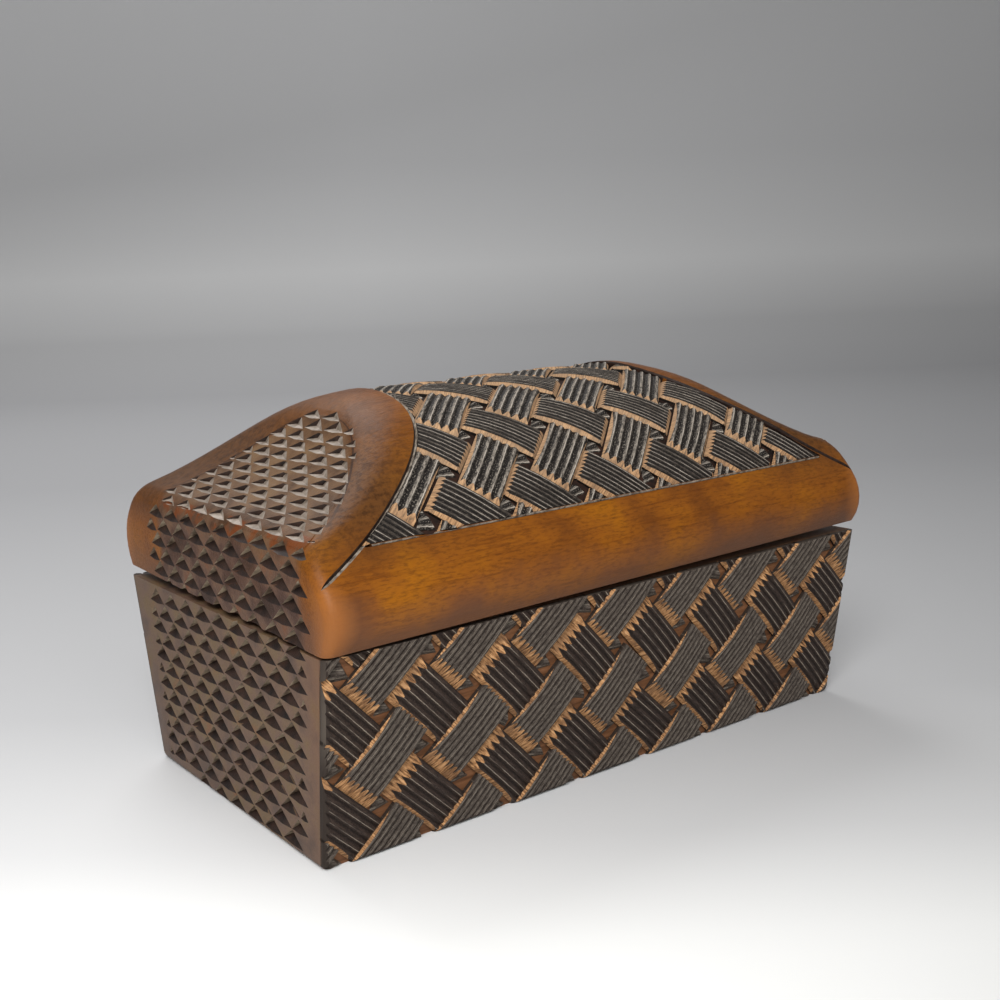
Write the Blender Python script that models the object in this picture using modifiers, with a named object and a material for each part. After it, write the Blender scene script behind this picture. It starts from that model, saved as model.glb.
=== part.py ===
"""Carved wooden trinket box: a flared body and a hipped casket lid on two brass butt hinges.

Metres, +Z up. The front faces -Y, the long side runs along X, and the origin lies on the
underside, under the middle of the body. The body and the lid are each hollowed out of one
block. The lid is a loft: its cross-section at any height is a rectangle with rounded hips,
whose half width follows the front of the lid (a bellied band, a straight slope and a round
ridge) and whose half length follows the ends (an upright wall, a shoulder, a hollow curve
and a crown). The front, the back and a panel over the ridge are carved as a basket weave:
what the knife takes away is a slab in which two directions of straps are left standing. The
ends carry rows of three-cornered chip cuts.
"""

import math

import bmesh
import bpy
from mathutils import Matrix, Vector

# Body, hollowed from one block
rim_length = 0.120
rim_width = 0.0736
end_flare = 0.0007
side_flare = 0.00555
body_height = 0.0348
end_wall = 0.0052
side_wall = 0.0052
floor_thickness = 0.005
body_corner_radius = 0.0015
foot_edge_radius = 0.0012
cavity_corner_radius = 0.004
cavity_floor_radius = 0.0025

# Lid, outside
lid_rise = 0.0326
band_radius = 0.008
band_belly_height = 0.005
side_slope = math.radians(51.4)
end_wall_height = 0.012
shoulder_radius = 0.0042
hood_foot_angle = math.radians(20.5)
hood_top_angle = math.radians(46.8)
hood_hollow_radius = 0.047
hip_radius_at_rim = 0.0017
hip_radius_at_ridge = 0.0074
ridge_flat_width = 0.0012

# Lid, inside
lid_wall = 0.006
hollow_lift = 0.004
hollow_depth = 0.024
hollow_corner_radius = 0.005
hollow_ceiling_radius = 0.003

# Basket weave on the front and back of the body and in the panel of the lid
strap_width = 0.008
strap_overlap = 0.0004
strap_end_length = 0.003
strap_end_drop = 0.001
weave_depth = 0.0012
crest_clearance = 0.00005
body_cell_length = 0.01573
body_cell_height = 0.0161
body_weave_start = 0.003
body_weave_level = 0.0081
lid_cell_length = 0.0155
lid_cell_height = 0.0154
lid_weave_shift = 0.001
lid_weave_level = 0.0023
panel_foot_arc = 0.016
panel_ridge_half_length = 0.0273
panel_growth = 0.0306
panel_growth_width = 0.0363
panel_left_power = 3.5
panel_right_power = 2.6

# Chip cuts on the ends of the body and the lid
chip_width = 0.0054
chip_height = 0.00195
chip_depth = 0.0007
chip_start = 0.0006
chip_period = 0.0066
chip_row_height = 0.00267
hood_chip_width = 0.0050
hood_chip_height = 0.0017
hood_chip_start = 0.0150
hood_chip_period = 0.0063
hood_row_height = 0.00225
lattice_shift = 0.0015
chip_row_slope = 0.038
body_field_front_inset = 0.007
body_field_back_inset_at_foot = 0.006
body_field_back_inset_at_rim = 0.010
lid_chip_start = 0.0009
lid_field_front_inset = 0.0056
lid_field_back_inset = 0.0122
hood_field_start = 0.038
hood_field_length = 0.020
hood_field_shift = 0.002
hood_field_front_inset = 0.0061
hood_field_back_inset = 0.0163
hood_field_power = 0.42

# How the old lid lies: the hinges hold its back up, and its front left corner has sunk
rear_gap = 0.0021
corner_droop = 0.0017

# Hinges
hinge_end_distance = 0.022
leaf_length = 0.016
leaf_depth = 0.0046
leaf_thickness = 0.0005
barrel_radius = 0.0013
bore_radius = 0.0008
pin_radius = 0.0005
knuckle_gap = 0.0003
leaf_curl = 0.00035

# Screws
screw_spacing = 0.0096
screw_inset = 0.0028
screw_length = 0.0042
screw_head_radius = 0.0010
screw_head_height = 0.0004
screw_shank_radius = 0.0005
screw_tip_length = 0.0010

# Clearances and finish
seat_gap = 0.0003
cut_overrun = 0.001
merge_distance = 0.00005
band_rings = 6
wall_rings = 1
shoulder_rings = 6
hood_rings = 8
crown_rings = 7
hollow_rings = 6
hip_segments = 5
corner_segments = 4
panel_rows = 14
round_segments = 14
crown_crowding = 1.8
hip_limit_share = 0.9
smooth_angle = math.radians(35)
weave_angle = math.radians(45)

# Derived sizes
foot_length = rim_length - 2 * end_flare
foot_width = rim_width - 2 * side_flare
hinge_spacing = rim_length - 2 * hinge_end_distance
hinge_height = body_height + rear_gap / 2
hinge_depth = rim_width / 2 + seat_gap + barrel_radius
knuckle_length = (leaf_length - 2 * knuckle_gap) / 3
end_lean = end_flare / body_height
side_lean = side_flare / body_height
face_height = math.hypot(side_flare, body_height)
face_lean = math.atan(side_lean)


def clear_scene():
    for old in list(bpy.data.objects):
        bpy.data.objects.remove(old, do_unlink=True)


def make_collection(name):
    collection = bpy.data.collections.new(name)
    bpy.context.scene.collection.children.link(collection)
    return collection


def make_material(name, colour, roughness, metallic=0.0):
    material = bpy.data.materials.new(name)
    material.use_nodes = True
    shader = material.node_tree.nodes["Principled BSDF"]
    shader.inputs["Base Color"].default_value = (*colour, 1.0)
    shader.inputs["Roughness"].default_value = roughness
    shader.inputs["Metallic"].default_value = metallic
    material.diffuse_color = (*colour, 1.0)
    return material


def file_under(piece, collection, material=None):
    for other in list(piece.users_collection):
        other.objects.unlink(piece)
    collection.objects.link(piece)
    if material is not None:
        piece.data.materials.clear()
        piece.data.materials.append(material)
    return piece


def mark_cutter(piece, cutters):
    file_under(piece, cutters)
    piece.hide_render = True
    piece.display_type = 'WIRE'
    return piece


def apply_scale(piece):
    piece.data.transform(Matrix.Diagonal((*piece.scale, 1.0)))
    piece.scale = (1.0, 1.0, 1.0)


def add_box(name, size, location):
    bpy.ops.mesh.primitive_cube_add(size=1, location=location)
    box = bpy.context.object
    box.name = name
    box.scale = size
    apply_scale(box)
    return box


def add_rod(name, radius, length, location, vertices=round_segments):
    """A cylinder that lies along X."""
    bpy.ops.mesh.primitive_cylinder_add(
        vertices=vertices, radius=radius, depth=length,
        location=location, rotation=(0.0, math.pi / 2, 0.0))
    rod = bpy.context.object
    rod.name = name
    return rod


def add_boolean(piece, other, operation):
    modifier = piece.modifiers.new(operation.lower() + " " + other.name, 'BOOLEAN')
    modifier.operation = operation
    modifier.solver = 'EXACT'
    modifier.object = other
    return modifier


def smooth(piece):
    piece.data.shade_smooth()
    piece.data.set_sharp_from_angle(angle=smooth_angle)


def hang_on(piece, pivot):
    """Parent a piece to the pivot and leave it where it stands."""
    piece.parent = pivot
    piece.matrix_parent_inverse = Matrix.Translation(pivot.location).inverted()


def body_half_sizes(height):
    """Half length and half width of the body's outside at a height."""
    half_length = foot_length / 2 + end_lean * height
    half_width = foot_width / 2 + side_lean * height
    return half_length, half_width


def tapered_block(name, low, high, inset_x, inset_y, corner, low_edge):
    """A block between two heights that follows the body's flare, set in from its outside."""
    block = add_box(name, (1.0, 1.0, high - low), (0.0, 0.0, 0.0))
    mesh = block.data
    for vertex in mesh.vertices:
        height = high if vertex.co.z > 0 else low
        half_length, half_width = body_half_sizes(height)
        vertex.co.x = math.copysign(half_length - inset_x, vertex.co.x)
        vertex.co.y = math.copysign(half_width - inset_y, vertex.co.y)
        vertex.co.z = height
    work = bmesh.new()
    work.from_mesh(mesh)
    upright = [edge for edge in work.edges if edge.verts[0].co.z != edge.verts[1].co.z]
    bmesh.ops.bevel(work, geom=upright, offset=corner, segments=corner_segments,
                    profile=0.5, affect='EDGES')
    underside = min(work.faces, key=lambda face: face.calc_center_median().z)
    bmesh.ops.bevel(work, geom=list(underside.edges), offset=low_edge,
                    segments=corner_segments, profile=0.5, affect='EDGES')
    work.to_mesh(mesh)
    work.free()
    return block


def half_turn():
    return Matrix.Rotation(math.pi, 4, 'Z')


def strap_length(cell_length):
    """Straps pass over one crossing and end under their neighbours."""
    return math.sqrt(2) * cell_length - strap_width + 2 * strap_overlap


def add_straps(name, turn, first, cell, counts):
    """Straps of one direction in a flat layout, level in the middle and sloping at their ends."""
    length, height = strap_length(cell[0]), weave_depth + cut_overrun
    level = length / 2 - strap_end_length
    straps = add_box(name, (length, strap_width, height), (0.0, 0.0, 0.0))
    work = bmesh.new()
    work.from_mesh(straps.data)
    for side in (-1, 1):
        bmesh.ops.bisect_plane(work, geom=work.verts[:] + work.edges[:] + work.faces[:],
                               plane_co=(side * level, 0.0, 0.0), plane_no=(1.0, 0.0, 0.0))
    for vertex in work.verts:
        if vertex.co.z > 0 and abs(vertex.co.x) > level + strap_end_length / 2:
            vertex.co.z -= strap_end_drop
    work.to_mesh(straps.data)
    work.free()
    place = Matrix.Translation((*first, -crest_clearance - height / 2))
    straps.data.transform(place @ Matrix.Rotation(turn, 4, 'Z'))
    for offset, count in (((cell[0], 0.0, 0.0), counts[0]), ((0.0, cell[1], 0.0), counts[1])):
        array = straps.modifiers.new("repeat", 'ARRAY')
        array.use_relative_offset = False
        array.use_constant_offset = True
        array.constant_offset_displace = offset
        array.count = count
    return straps


def leave_straps(slab, first, cell, counts, rise, cutters):
    """Both directions of straps are left standing in a slab of wood that is taken away."""
    other = (first[0] - cell[0] / 2, first[1] + rise * cell[1] / 2)
    layers = []
    for suffix, turn, corner in (("_falling_straps", -weave_angle, first),
                                 ("_rising_straps", weave_angle, other)):
        straps = add_straps(slab.name + suffix, turn, corner, cell, counts)
        straps.matrix_basis = slab.matrix_basis
        mark_cutter(straps, cutters)
        add_boolean(slab, straps, 'DIFFERENCE')
        layers.append(straps)
    return layers


def carve_body_weave(body, cutters):
    """The front and, turned half round, the back."""
    foot = Matrix.Translation((0.0, -foot_width / 2, 0.0))
    leaning = foot @ Matrix.Rotation(math.pi / 2 + face_lean, 4, 'X')
    cell = (body_cell_length, body_cell_height)
    columns = math.ceil(rim_length / body_cell_length) + 2
    rows = math.ceil(face_height / body_cell_height) + 2
    first = (-rim_length / 2 + body_weave_start - body_cell_length,
             body_weave_level - body_cell_height)
    for name, facing in (("front_weave_cutter", leaning), ("back_weave_cutter", half_turn() @ leaning)):
        slab = add_box(name, (rim_length + 2 * cut_overrun, face_height + 2 * cut_overrun,
                              weave_depth + cut_overrun), (0.0, 0.0, 0.0))
        slab.data.transform(Matrix.Translation(
            (0.0, face_height / 2, (cut_overrun - weave_depth) / 2)))
        slab.matrix_basis = facing
        mark_cutter(slab, cutters)
        leave_straps(slab, first, cell, (columns, rows), -1, cutters)
        add_boolean(body, slab, 'DIFFERENCE')


def chip_solid(work, point, across, up, width, height):
    """One chip as the knife takes it out: three corners on the surface and a point below."""
    turned = Matrix((across, up, across.cross(up))).transposed().to_4x4()
    above = crest_clearance / chip_depth
    size = Matrix.Diagonal((width / math.sqrt(3), height * 2 / 3, -chip_depth, 1.0))
    place = Matrix.Translation(point + up * height / 3) @ turned
    sunk = Matrix.Translation((0.0, 0.0, 1 / 2 - above))
    grown = Matrix.Diagonal((1 + above, 1 + above, 1 + above, 1.0))
    bmesh.ops.create_cone(work, cap_ends=True, segments=3, radius1=1.0, radius2=0.0, depth=1.0,
                          matrix=place @ size @ grown @ sunk)


def chip_places(start, rows, period, row_height):
    """Places in a lattice whose rows are shifted by half a period: position along Y and height."""
    reach = math.ceil(rim_width / 2 / period)
    places = []
    for row in range(rows):
        for column in range(-reach, reach + 1):
            y = period * (column + row % 2 / 2) - lattice_shift
            places.append((y, start + row_height * row))
    return places


def add_chips(name, chips, cutters):
    """A cutter that takes out all chips of one block. A chip is a place and its width and height."""
    mesh = bpy.data.meshes.new(name)
    work = bmesh.new()
    for chip in chips:
        chip_solid(work, *chip)
    bmesh.ops.remove_doubles(work, verts=work.verts[:], dist=crest_clearance / 2)
    bmesh.ops.recalc_face_normals(work, faces=work.faces[:])
    work.to_mesh(mesh)
    work.free()
    cutter = bpy.data.objects.new(name, mesh)
    cutters.objects.link(cutter)
    return mark_cutter(cutter, cutters)


def body_chips():
    chips = []
    lean = math.atan(end_lean)
    rows = math.floor(body_height / chip_row_height) + 1
    for y, level in chip_places(chip_start, rows, chip_period, chip_row_height):
        height = level - chip_row_slope * (y + lattice_shift)
        share = height / body_height
        half_length, half_width = body_half_sizes(height)
        front = body_field_front_inset - half_width
        back_inset = (body_field_back_inset_at_foot * (1 - share)
                      + body_field_back_inset_at_rim * share)
        if (height > 0 and height < body_height - chip_height / 2
                and front + chip_width / 4 < y < half_width - back_inset - chip_width / 4):
            for side in (-1, 1):
                up = Vector((side * math.sin(lean), 0.0, math.cos(lean)))
                across = Vector((0.0, side, 0.0))
                chips.append((Vector((side * half_length, y, height)), across, up,
                              chip_width, chip_height))
    return chips


def build_body(parts, cutters, wood):
    body = tapered_block("box_body", 0.0, body_height, 0.0, 0.0,
                         body_corner_radius, foot_edge_radius)
    file_under(body, parts, wood)
    cavity = tapered_block("body_cavity_cutter", floor_thickness, body_height + cut_overrun,
                           end_wall, side_wall, cavity_corner_radius, cavity_floor_radius)
    mark_cutter(cavity, cutters)
    add_boolean(body, cavity, 'DIFFERENCE')
    carve_body_weave(body, cutters)
    add_boolean(body, add_chips("body_chip_cutter", body_chips(), cutters), 'DIFFERENCE')
    smooth(body)
    return body


def band_centre():
    """Distance from the middle plane to the centre of the band's rounding."""
    return rim_width / 2 - math.sqrt(band_radius ** 2 - band_belly_height ** 2)


def slope_start():
    """Half width and height where the band's rounding turns into the slope."""
    half_width = band_centre() + band_radius * math.sin(side_slope)
    height = band_belly_height + band_radius * math.cos(side_slope)
    return half_width, height


def ridge_radius():
    """Radius of the round ridge that is tangent to both slopes and reaches the lid's rise."""
    half_width, height = slope_start()
    gain = lid_rise - height - math.tan(side_slope) * half_width
    return gain / ((1 - math.cos(side_slope)) - math.tan(side_slope) * math.sin(side_slope))


def half_width_at(height):
    """Half width of the lid at a height above its rim, as seen from the end."""
    start_width, start_height = slope_start()
    radius = ridge_radius()
    end_height = lid_rise - radius * (1 - math.cos(side_slope))
    if height <= start_height:
        rise = height - band_belly_height
        return band_centre() + math.sqrt(band_radius ** 2 - rise ** 2)
    if height <= end_height:
        return start_width - (height - start_height) / math.tan(side_slope)
    below_top = lid_rise - height
    return math.sqrt(max(radius ** 2 - (radius - below_top) ** 2, 0.0))


def band_arc():
    """Length of the band's rounding, measured round the outline."""
    return band_radius * (math.asin(band_belly_height / band_radius) + math.pi / 2 - side_slope)


def slope_arc():
    end_height = lid_rise - ridge_radius() * (1 - math.cos(side_slope))
    return (end_height - slope_start()[1]) / math.sin(side_slope)


def top_arc():
    return band_arc() + slope_arc() + ridge_radius() * side_slope


def side_outline(arc):
    """Point and outward direction on the outline across the lid, from the front rim to the back."""
    side = -1 if arc <= top_arc() else 1
    arc = min(arc, 2 * top_arc() - arc)
    if arc < band_arc():
        turn = arc / band_radius - math.asin(band_belly_height / band_radius)
        y = band_centre() + band_radius * math.cos(turn)
        height = band_belly_height + band_radius * math.sin(turn)
    elif arc < band_arc() + slope_arc():
        turn = math.pi / 2 - side_slope
        start_width, start_height = slope_start()
        y = start_width - (arc - band_arc()) * math.cos(side_slope)
        height = start_height + (arc - band_arc()) * math.sin(side_slope)
    else:
        turn = math.pi / 2 - (top_arc() - arc) / ridge_radius()
        y = ridge_radius() * math.cos(turn)
        height = lid_rise - ridge_radius() * (1 - math.sin(turn))
    return side * y, height, side * math.cos(turn), math.sin(turn)


def hood_points():
    """Where the shoulder ends and where the hollow curve ends, as half length and height."""
    shoulder_x = rim_length / 2 - shoulder_radius * (1 - math.sin(hood_foot_angle))
    shoulder_z = end_wall_height + shoulder_radius * math.cos(hood_foot_angle)
    run = hood_hollow_radius * (math.sin(hood_top_angle) - math.sin(hood_foot_angle))
    rise = hood_hollow_radius * (math.cos(hood_foot_angle) - math.cos(hood_top_angle))
    return (shoulder_x, shoulder_z), (shoulder_x - run, shoulder_z + rise)


def half_length_at(height):
    """Half length of the lid at a height above its rim, as seen from the front."""
    (shoulder_x, shoulder_z), (crown_x, crown_z) = hood_points()
    if height <= end_wall_height:
        return rim_length / 2
    if height <= shoulder_z:
        rise = height - end_wall_height
        return rim_length / 2 - shoulder_radius + math.sqrt(shoulder_radius ** 2 - rise ** 2)
    if height <= crown_z:
        cosine = math.cos(hood_foot_angle) - (height - shoulder_z) / hood_hollow_radius
        turn = math.acos(cosine)
        return shoulder_x - hood_hollow_radius * (math.sin(turn) - math.sin(hood_foot_angle))
    crown_radius = (lid_rise - crown_z) / (1 - math.cos(hood_top_angle))
    ridge_half = crown_x - crown_radius * math.sin(hood_top_angle)
    cosine = 1 - (lid_rise - height) / crown_radius
    return ridge_half + crown_radius * math.sin(math.acos(min(cosine, 1.0)))


def end_outline(arc):
    """Half length, height and outward direction on the outline along the lid, from its rim up."""
    shoulder_arc = shoulder_radius * (math.pi / 2 - hood_foot_angle)
    (shoulder_x, shoulder_z), _ = hood_points()
    if arc <= end_wall_height:
        return rim_length / 2, arc, 1.0, 0.0
    arc -= end_wall_height
    if arc < shoulder_arc:
        turn = arc / shoulder_radius
        x = rim_length / 2 - shoulder_radius * (1 - math.cos(turn))
        height = end_wall_height + shoulder_radius * math.sin(turn)
        return x, height, math.cos(turn), math.sin(turn)
    turn = hood_foot_angle + (arc - shoulder_arc) / hood_hollow_radius
    x = shoulder_x - hood_hollow_radius * (math.sin(turn) - math.sin(hood_foot_angle))
    height = shoulder_z + hood_hollow_radius * (math.cos(hood_foot_angle) - math.cos(turn))
    return x, height, math.sin(turn), math.cos(turn)


def settled(x, y, height):
    """A point of the lid, given above its rim, where the lid lies on the body."""
    toward_left = 0.5 - x / rim_length
    toward_front = 0.5 - y / rim_width
    droop = corner_droop * toward_left * toward_front
    return Vector((x, y, body_height + rear_gap + height - droop))


def rounded_ring(half_length, half_width, radius, height, segments):
    """Points round a rectangle with rounded corners, as it lies in the settled lid."""
    radius = min(radius, hip_limit_share * half_width)
    points = []
    for quarter, (sign_x, sign_y) in enumerate(((1, 1), (-1, 1), (-1, -1), (1, -1))):
        for step in range(segments + 1):
            turn = (quarter + step / segments) * math.pi / 2
            x = sign_x * (half_length - radius) + radius * math.cos(turn)
            y = sign_y * (half_width - radius) + radius * math.sin(turn)
            points.append(settled(x, y, height))
    return points


def loft(name, rings):
    """A closed solid through rings of equal count, lowest first."""
    mesh = bpy.data.meshes.new(name)
    work = bmesh.new()
    rows = [[work.verts.new(point) for point in ring] for ring in rings]
    for lower, upper in zip(rows, rows[1:]):
        count = len(lower)
        for i in range(count):
            j = (i + 1) % count
            work.faces.new((lower[i], lower[j], upper[j], upper[i]))
    work.faces.new(list(reversed(rows[0])))
    cap = work.faces.new(rows[-1])
    cap_edges = list(cap.edges)
    work.to_mesh(mesh)
    return mesh, work, cap_edges


def ring_heights():
    """Heights of the lid's cross-sections, closer together where its outline bends."""
    top = lid_rise - ridge_radius() + math.sqrt(ridge_radius() ** 2 - (ridge_flat_width / 2) ** 2)
    (_, shoulder_z), (_, crown_z) = hood_points()
    spans = ((0.0, slope_start()[1], band_rings, 1.0),
             (slope_start()[1], end_wall_height, wall_rings, 1.0),
             (end_wall_height, shoulder_z, shoulder_rings, crown_crowding),
             (shoulder_z, crown_z, hood_rings, 1.0),
             (crown_z, top, crown_rings, crown_crowding))
    heights = [0.0]
    for low, high, count, crowding in spans:
        for step in range(1, count + 1):
            heights.append(high - (high - low) * (1 - step / count) ** crowding)
    return heights


def lid_rings():
    rings = []
    for height in ring_heights():
        blend = (height / lid_rise) ** 2
        radius = hip_radius_at_rim + (hip_radius_at_ridge - hip_radius_at_rim) * blend
        rings.append(rounded_ring(half_length_at(height), half_width_at(height),
                                  radius, height, hip_segments))
    return rings


def hollow_half_sizes(height):
    """The hollow runs parallel to the outside, set in by the wall and lowered by the lift."""
    outside = max(height, 0.0) + hollow_lift
    return half_length_at(outside) - lid_wall, half_width_at(outside) - lid_wall


def lid_hollow_rings():
    rings = []
    for step in range(hollow_rings + 1):
        height = hollow_depth * step / hollow_rings
        if step == 0:
            height = -cut_overrun - corner_droop
        half_length, half_width = hollow_half_sizes(height)
        rings.append(rounded_ring(half_length, half_width, hollow_corner_radius,
                                  height, corner_segments))
    return rings


def panel_reach(arc, power):
    """Half length of the woven panel: it widens from the ridge towards the corners."""
    y = abs(side_outline(arc)[0])
    return panel_ridge_half_length + panel_growth * (y / panel_growth_width) ** power


def panel_arcs():
    span = 2 * (top_arc() - panel_foot_arc)
    return [panel_foot_arc + span * row / panel_rows for row in range(panel_rows + 1)]


def build_panel_cutter(cutters):
    """The wood taken away from the lid's panel: woven flat, then bent over the lid."""
    rings = []
    for arc in panel_arcs():
        left, right = -panel_reach(arc, panel_left_power), panel_reach(arc, panel_right_power)
        rings.append([(left, arc, -weave_depth), (left, arc, cut_overrun),
                      (right, arc, cut_overrun), (right, arc, -weave_depth)])
    mesh, work, _ = loft("flat_panel", rings)
    work.free()
    flat = bpy.data.objects.new("flat_panel", mesh)
    cutters.objects.link(flat)
    cell = (lid_cell_length, lid_cell_height)
    columns = math.ceil(rim_length / lid_cell_length) + 2
    rows = math.ceil(2 * (top_arc() - panel_foot_arc) / lid_cell_height) + 2
    first = (lid_weave_shift - (columns // 2) * lid_cell_length,
             panel_foot_arc + lid_weave_level - lid_cell_height)
    straps = leave_straps(flat, first, cell, (columns, rows), 1, cutters)
    bpy.context.view_layer.update()
    woven = flat.evaluated_get(bpy.context.evaluated_depsgraph_get())
    mesh = bpy.data.meshes.new_from_object(woven)
    work = bmesh.new()
    work.from_mesh(mesh)
    for arc in panel_arcs()[1:-1]:
        bmesh.ops.bisect_plane(work, geom=work.verts[:] + work.edges[:] + work.faces[:],
                               dist=crest_clearance / 2, plane_co=(0.0, arc, 0.0),
                               plane_no=(0.0, 1.0, 0.0))
    bmesh.ops.triangulate(work, faces=work.faces[:])
    for vertex in work.verts:
        x, arc, out = vertex.co
        y, height, out_y, out_z = side_outline(arc)
        vertex.co = settled(x, y + out * out_y, height + out * out_z)
    work.to_mesh(mesh)
    work.free()
    for piece in [flat] + straps:
        bpy.data.objects.remove(piece, do_unlink=True)
    cutter = bpy.data.objects.new("panel_weave_cutter", mesh)
    cutters.objects.link(cutter)
    return mark_cutter(cutter, cutters)


def hood_field(x):
    """Front and back edge of the horseshoe of chips on the hood, at this half length."""
    opening = min(max(x - hood_field_start, 0.0) / hood_field_length, 1.0) ** hood_field_power
    front = rim_width / 2 - hood_field_front_inset - hood_field_shift
    back = rim_width / 2 - hood_field_back_inset + hood_field_shift
    return -hood_field_shift - front * opening, -hood_field_shift + back * opening


def wall_field(x):
    return lid_field_front_inset - rim_width / 2, rim_width / 2 - lid_field_back_inset


def lid_chips():
    """Chips on the lid's upright end walls, and above the shoulder on its hoods."""
    wall_rows = math.ceil(end_wall_height / chip_row_height) + 1
    hood_rows = math.floor(hood_hollow_radius * (hood_top_angle - hood_foot_angle)
                           / hood_row_height) + 1
    groups = ((chip_places(-lid_chip_start, wall_rows, chip_period, chip_row_height),
               chip_width, chip_height, wall_field),
              (chip_places(hood_chip_start, hood_rows, hood_chip_period, hood_row_height),
               hood_chip_width, hood_chip_height, hood_field))
    chips = []
    for places, width, height, field in groups:
        for y, level in places:
            x, rise, out_x, out_z = end_outline(level - chip_row_slope * (y + lattice_shift))
            front, back = field(x)
            if front + width / 4 < y < back - width / 4:
                for side in (-1, 1):
                    up = Vector((-side * out_z, 0.0, out_x))
                    across = Vector((0.0, side, 0.0))
                    chips.append((settled(side * x, y, rise), across, up, width, height))
    return chips


def build_lid(parts, cutters, wood, pivot):
    mesh, work, _ = loft("lid", lid_rings())
    work.free()
    lid = bpy.data.objects.new("lid", mesh)
    parts.objects.link(lid)
    mesh.materials.append(wood)
    smooth(lid)

    mesh, work, ceiling = loft("lid_hollow_cutter", lid_hollow_rings())
    bmesh.ops.bevel(work, geom=ceiling, offset=hollow_ceiling_radius,
                    segments=corner_segments, profile=0.5, affect='EDGES')
    work.to_mesh(mesh)
    work.free()
    hollow = bpy.data.objects.new("lid_hollow_cutter", mesh)
    cutters.objects.link(hollow)
    mark_cutter(hollow, cutters)
    add_boolean(lid, hollow, 'DIFFERENCE')
    panel = build_panel_cutter(cutters)
    add_boolean(lid, panel, 'DIFFERENCE')
    chips = add_chips("lid_chip_cutter", lid_chips(), cutters)
    add_boolean(lid, chips, 'DIFFERENCE')
    for piece in (lid, hollow, panel, chips):
        hang_on(piece, pivot)
    return lid


def knuckle_places(moving):
    """Middles along the barrel of the knuckles of one leaf, and of those of the other."""
    pitch = (leaf_length - knuckle_length) / 2
    outer, middle = (-pitch, pitch), (0.0,)
    return (middle, outer) if moving else (outer, middle)


def build_leaf(name, x, moving, parts, cutters, brass):
    """A plate screwed to a rim, curled round the pin at the back of the box."""
    side = 1 if moving else -1
    level = side * (rear_gap / 2 - seat_gap - leaf_thickness / 2)
    plate_back = hinge_depth - barrel_radius + leaf_curl
    plate_front = rim_width / 2 - leaf_depth
    plate = add_box(name, (leaf_length, plate_back - plate_front, leaf_thickness),
                    (x, (plate_back + plate_front) / 2, hinge_height + level))
    file_under(plate, parts, brass)
    own, others = knuckle_places(moving)
    for place in others:
        length = knuckle_length + 2 * knuckle_gap
        notch_front = hinge_depth - barrel_radius - knuckle_gap
        depth = plate_back - notch_front + cut_overrun
        notch = add_box(name + "_notch", (length, depth, 2 * barrel_radius),
                        (x + place, notch_front + depth / 2, hinge_height + level))
        mark_cutter(notch, cutters)
        add_boolean(plate, notch, 'DIFFERENCE')
    for place in own:
        knuckle = add_rod(name + "_knuckle", barrel_radius, knuckle_length,
                          (x + place, hinge_depth, hinge_height))
        mark_cutter(knuckle, cutters)
        add_boolean(plate, knuckle, 'UNION')
    bore = add_rod(name + "_bore", bore_radius, leaf_length + 2 * cut_overrun,
                   (x, hinge_depth, hinge_height))
    mark_cutter(bore, cutters)
    add_boolean(plate, bore, 'DIFFERENCE')
    return plate


def screw_places():
    y = rim_width / 2 - screw_inset
    return [(side, sign, side * hinge_spacing / 2 + sign * screw_spacing / 2, y)
            for side in (-1, 1) for sign in (-1, 1)]


def turned(name, profile):
    """A solid turned about its own Z from a profile that runs down its outer side."""
    mesh = bpy.data.meshes.new(name)
    work = bmesh.new()
    points = [work.verts.new((radius, 0.0, height)) for radius, height in profile]
    for upper, lower in zip(points, points[1:]):
        work.edges.new((upper, lower))
    work.to_mesh(mesh)
    work.free()
    piece = bpy.data.objects.new(name, mesh)
    turn = piece.modifiers.new("turn", 'SCREW')
    turn.axis = 'Z'
    turn.steps = round_segments
    turn.render_steps = round_segments
    turn.use_merge_vertices = True
    turn.merge_threshold = merge_distance
    return piece


def screw_profile(gap):
    """Outline of a countersunk screw with its head's face at zero, widened by a gap."""
    head = screw_head_radius + gap
    shank = screw_shank_radius + gap
    straight_end = -(screw_length - screw_tip_length) - gap
    if gap:
        return [(0.0, cut_overrun), (head, cut_overrun), (head, 0.0),
                (shank, -screw_head_height), (shank, straight_end - screw_tip_length),
                (0.0, straight_end - screw_tip_length)]
    return [(0.0, 0.0), (head, 0.0), (shank, -screw_head_height),
            (shank, straight_end), (0.0, straight_end - screw_tip_length)]


def add_screws(wood_piece, leaves, moving, parts, cutters, brass):
    """Two screws through each leaf, with their heads level with the plate's open face."""
    up = -1 if moving else 1
    face = hinge_height + up * (-rear_gap / 2 + seat_gap + leaf_thickness)
    facing = Matrix.Rotation(math.pi, 4, 'X') if moving else Matrix.Identity(4)
    owner = "lid" if moving else "body"
    screws = []
    for side, sign, x, y in screw_places():
        hand = "left" if side < 0 else "right"
        name = "_".join((hand, owner, "leaf_screw", "1" if sign < 0 else "2"))
        screw = turned(name, screw_profile(0.0))
        screw.matrix_basis = Matrix.Translation((x, y, face)) @ facing
        parts.objects.link(screw)
        screw.data.materials.append(brass)
        screws.append(screw)
        hole = turned(name + "_hole", screw_profile(seat_gap))
        hole.matrix_basis = Matrix.Translation((x, y, face)) @ facing
        cutters.objects.link(hole)
        mark_cutter(hole, cutters)
        add_boolean(wood_piece, hole, 'DIFFERENCE')
        add_boolean(leaves[side], hole, 'DIFFERENCE')
    return screws


def build_pin(name, x, parts, brass):
    pin = add_rod(name, pin_radius, leaf_length, (x, hinge_depth, hinge_height))
    file_under(pin, parts, brass)
    smooth(pin)
    return pin


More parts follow.
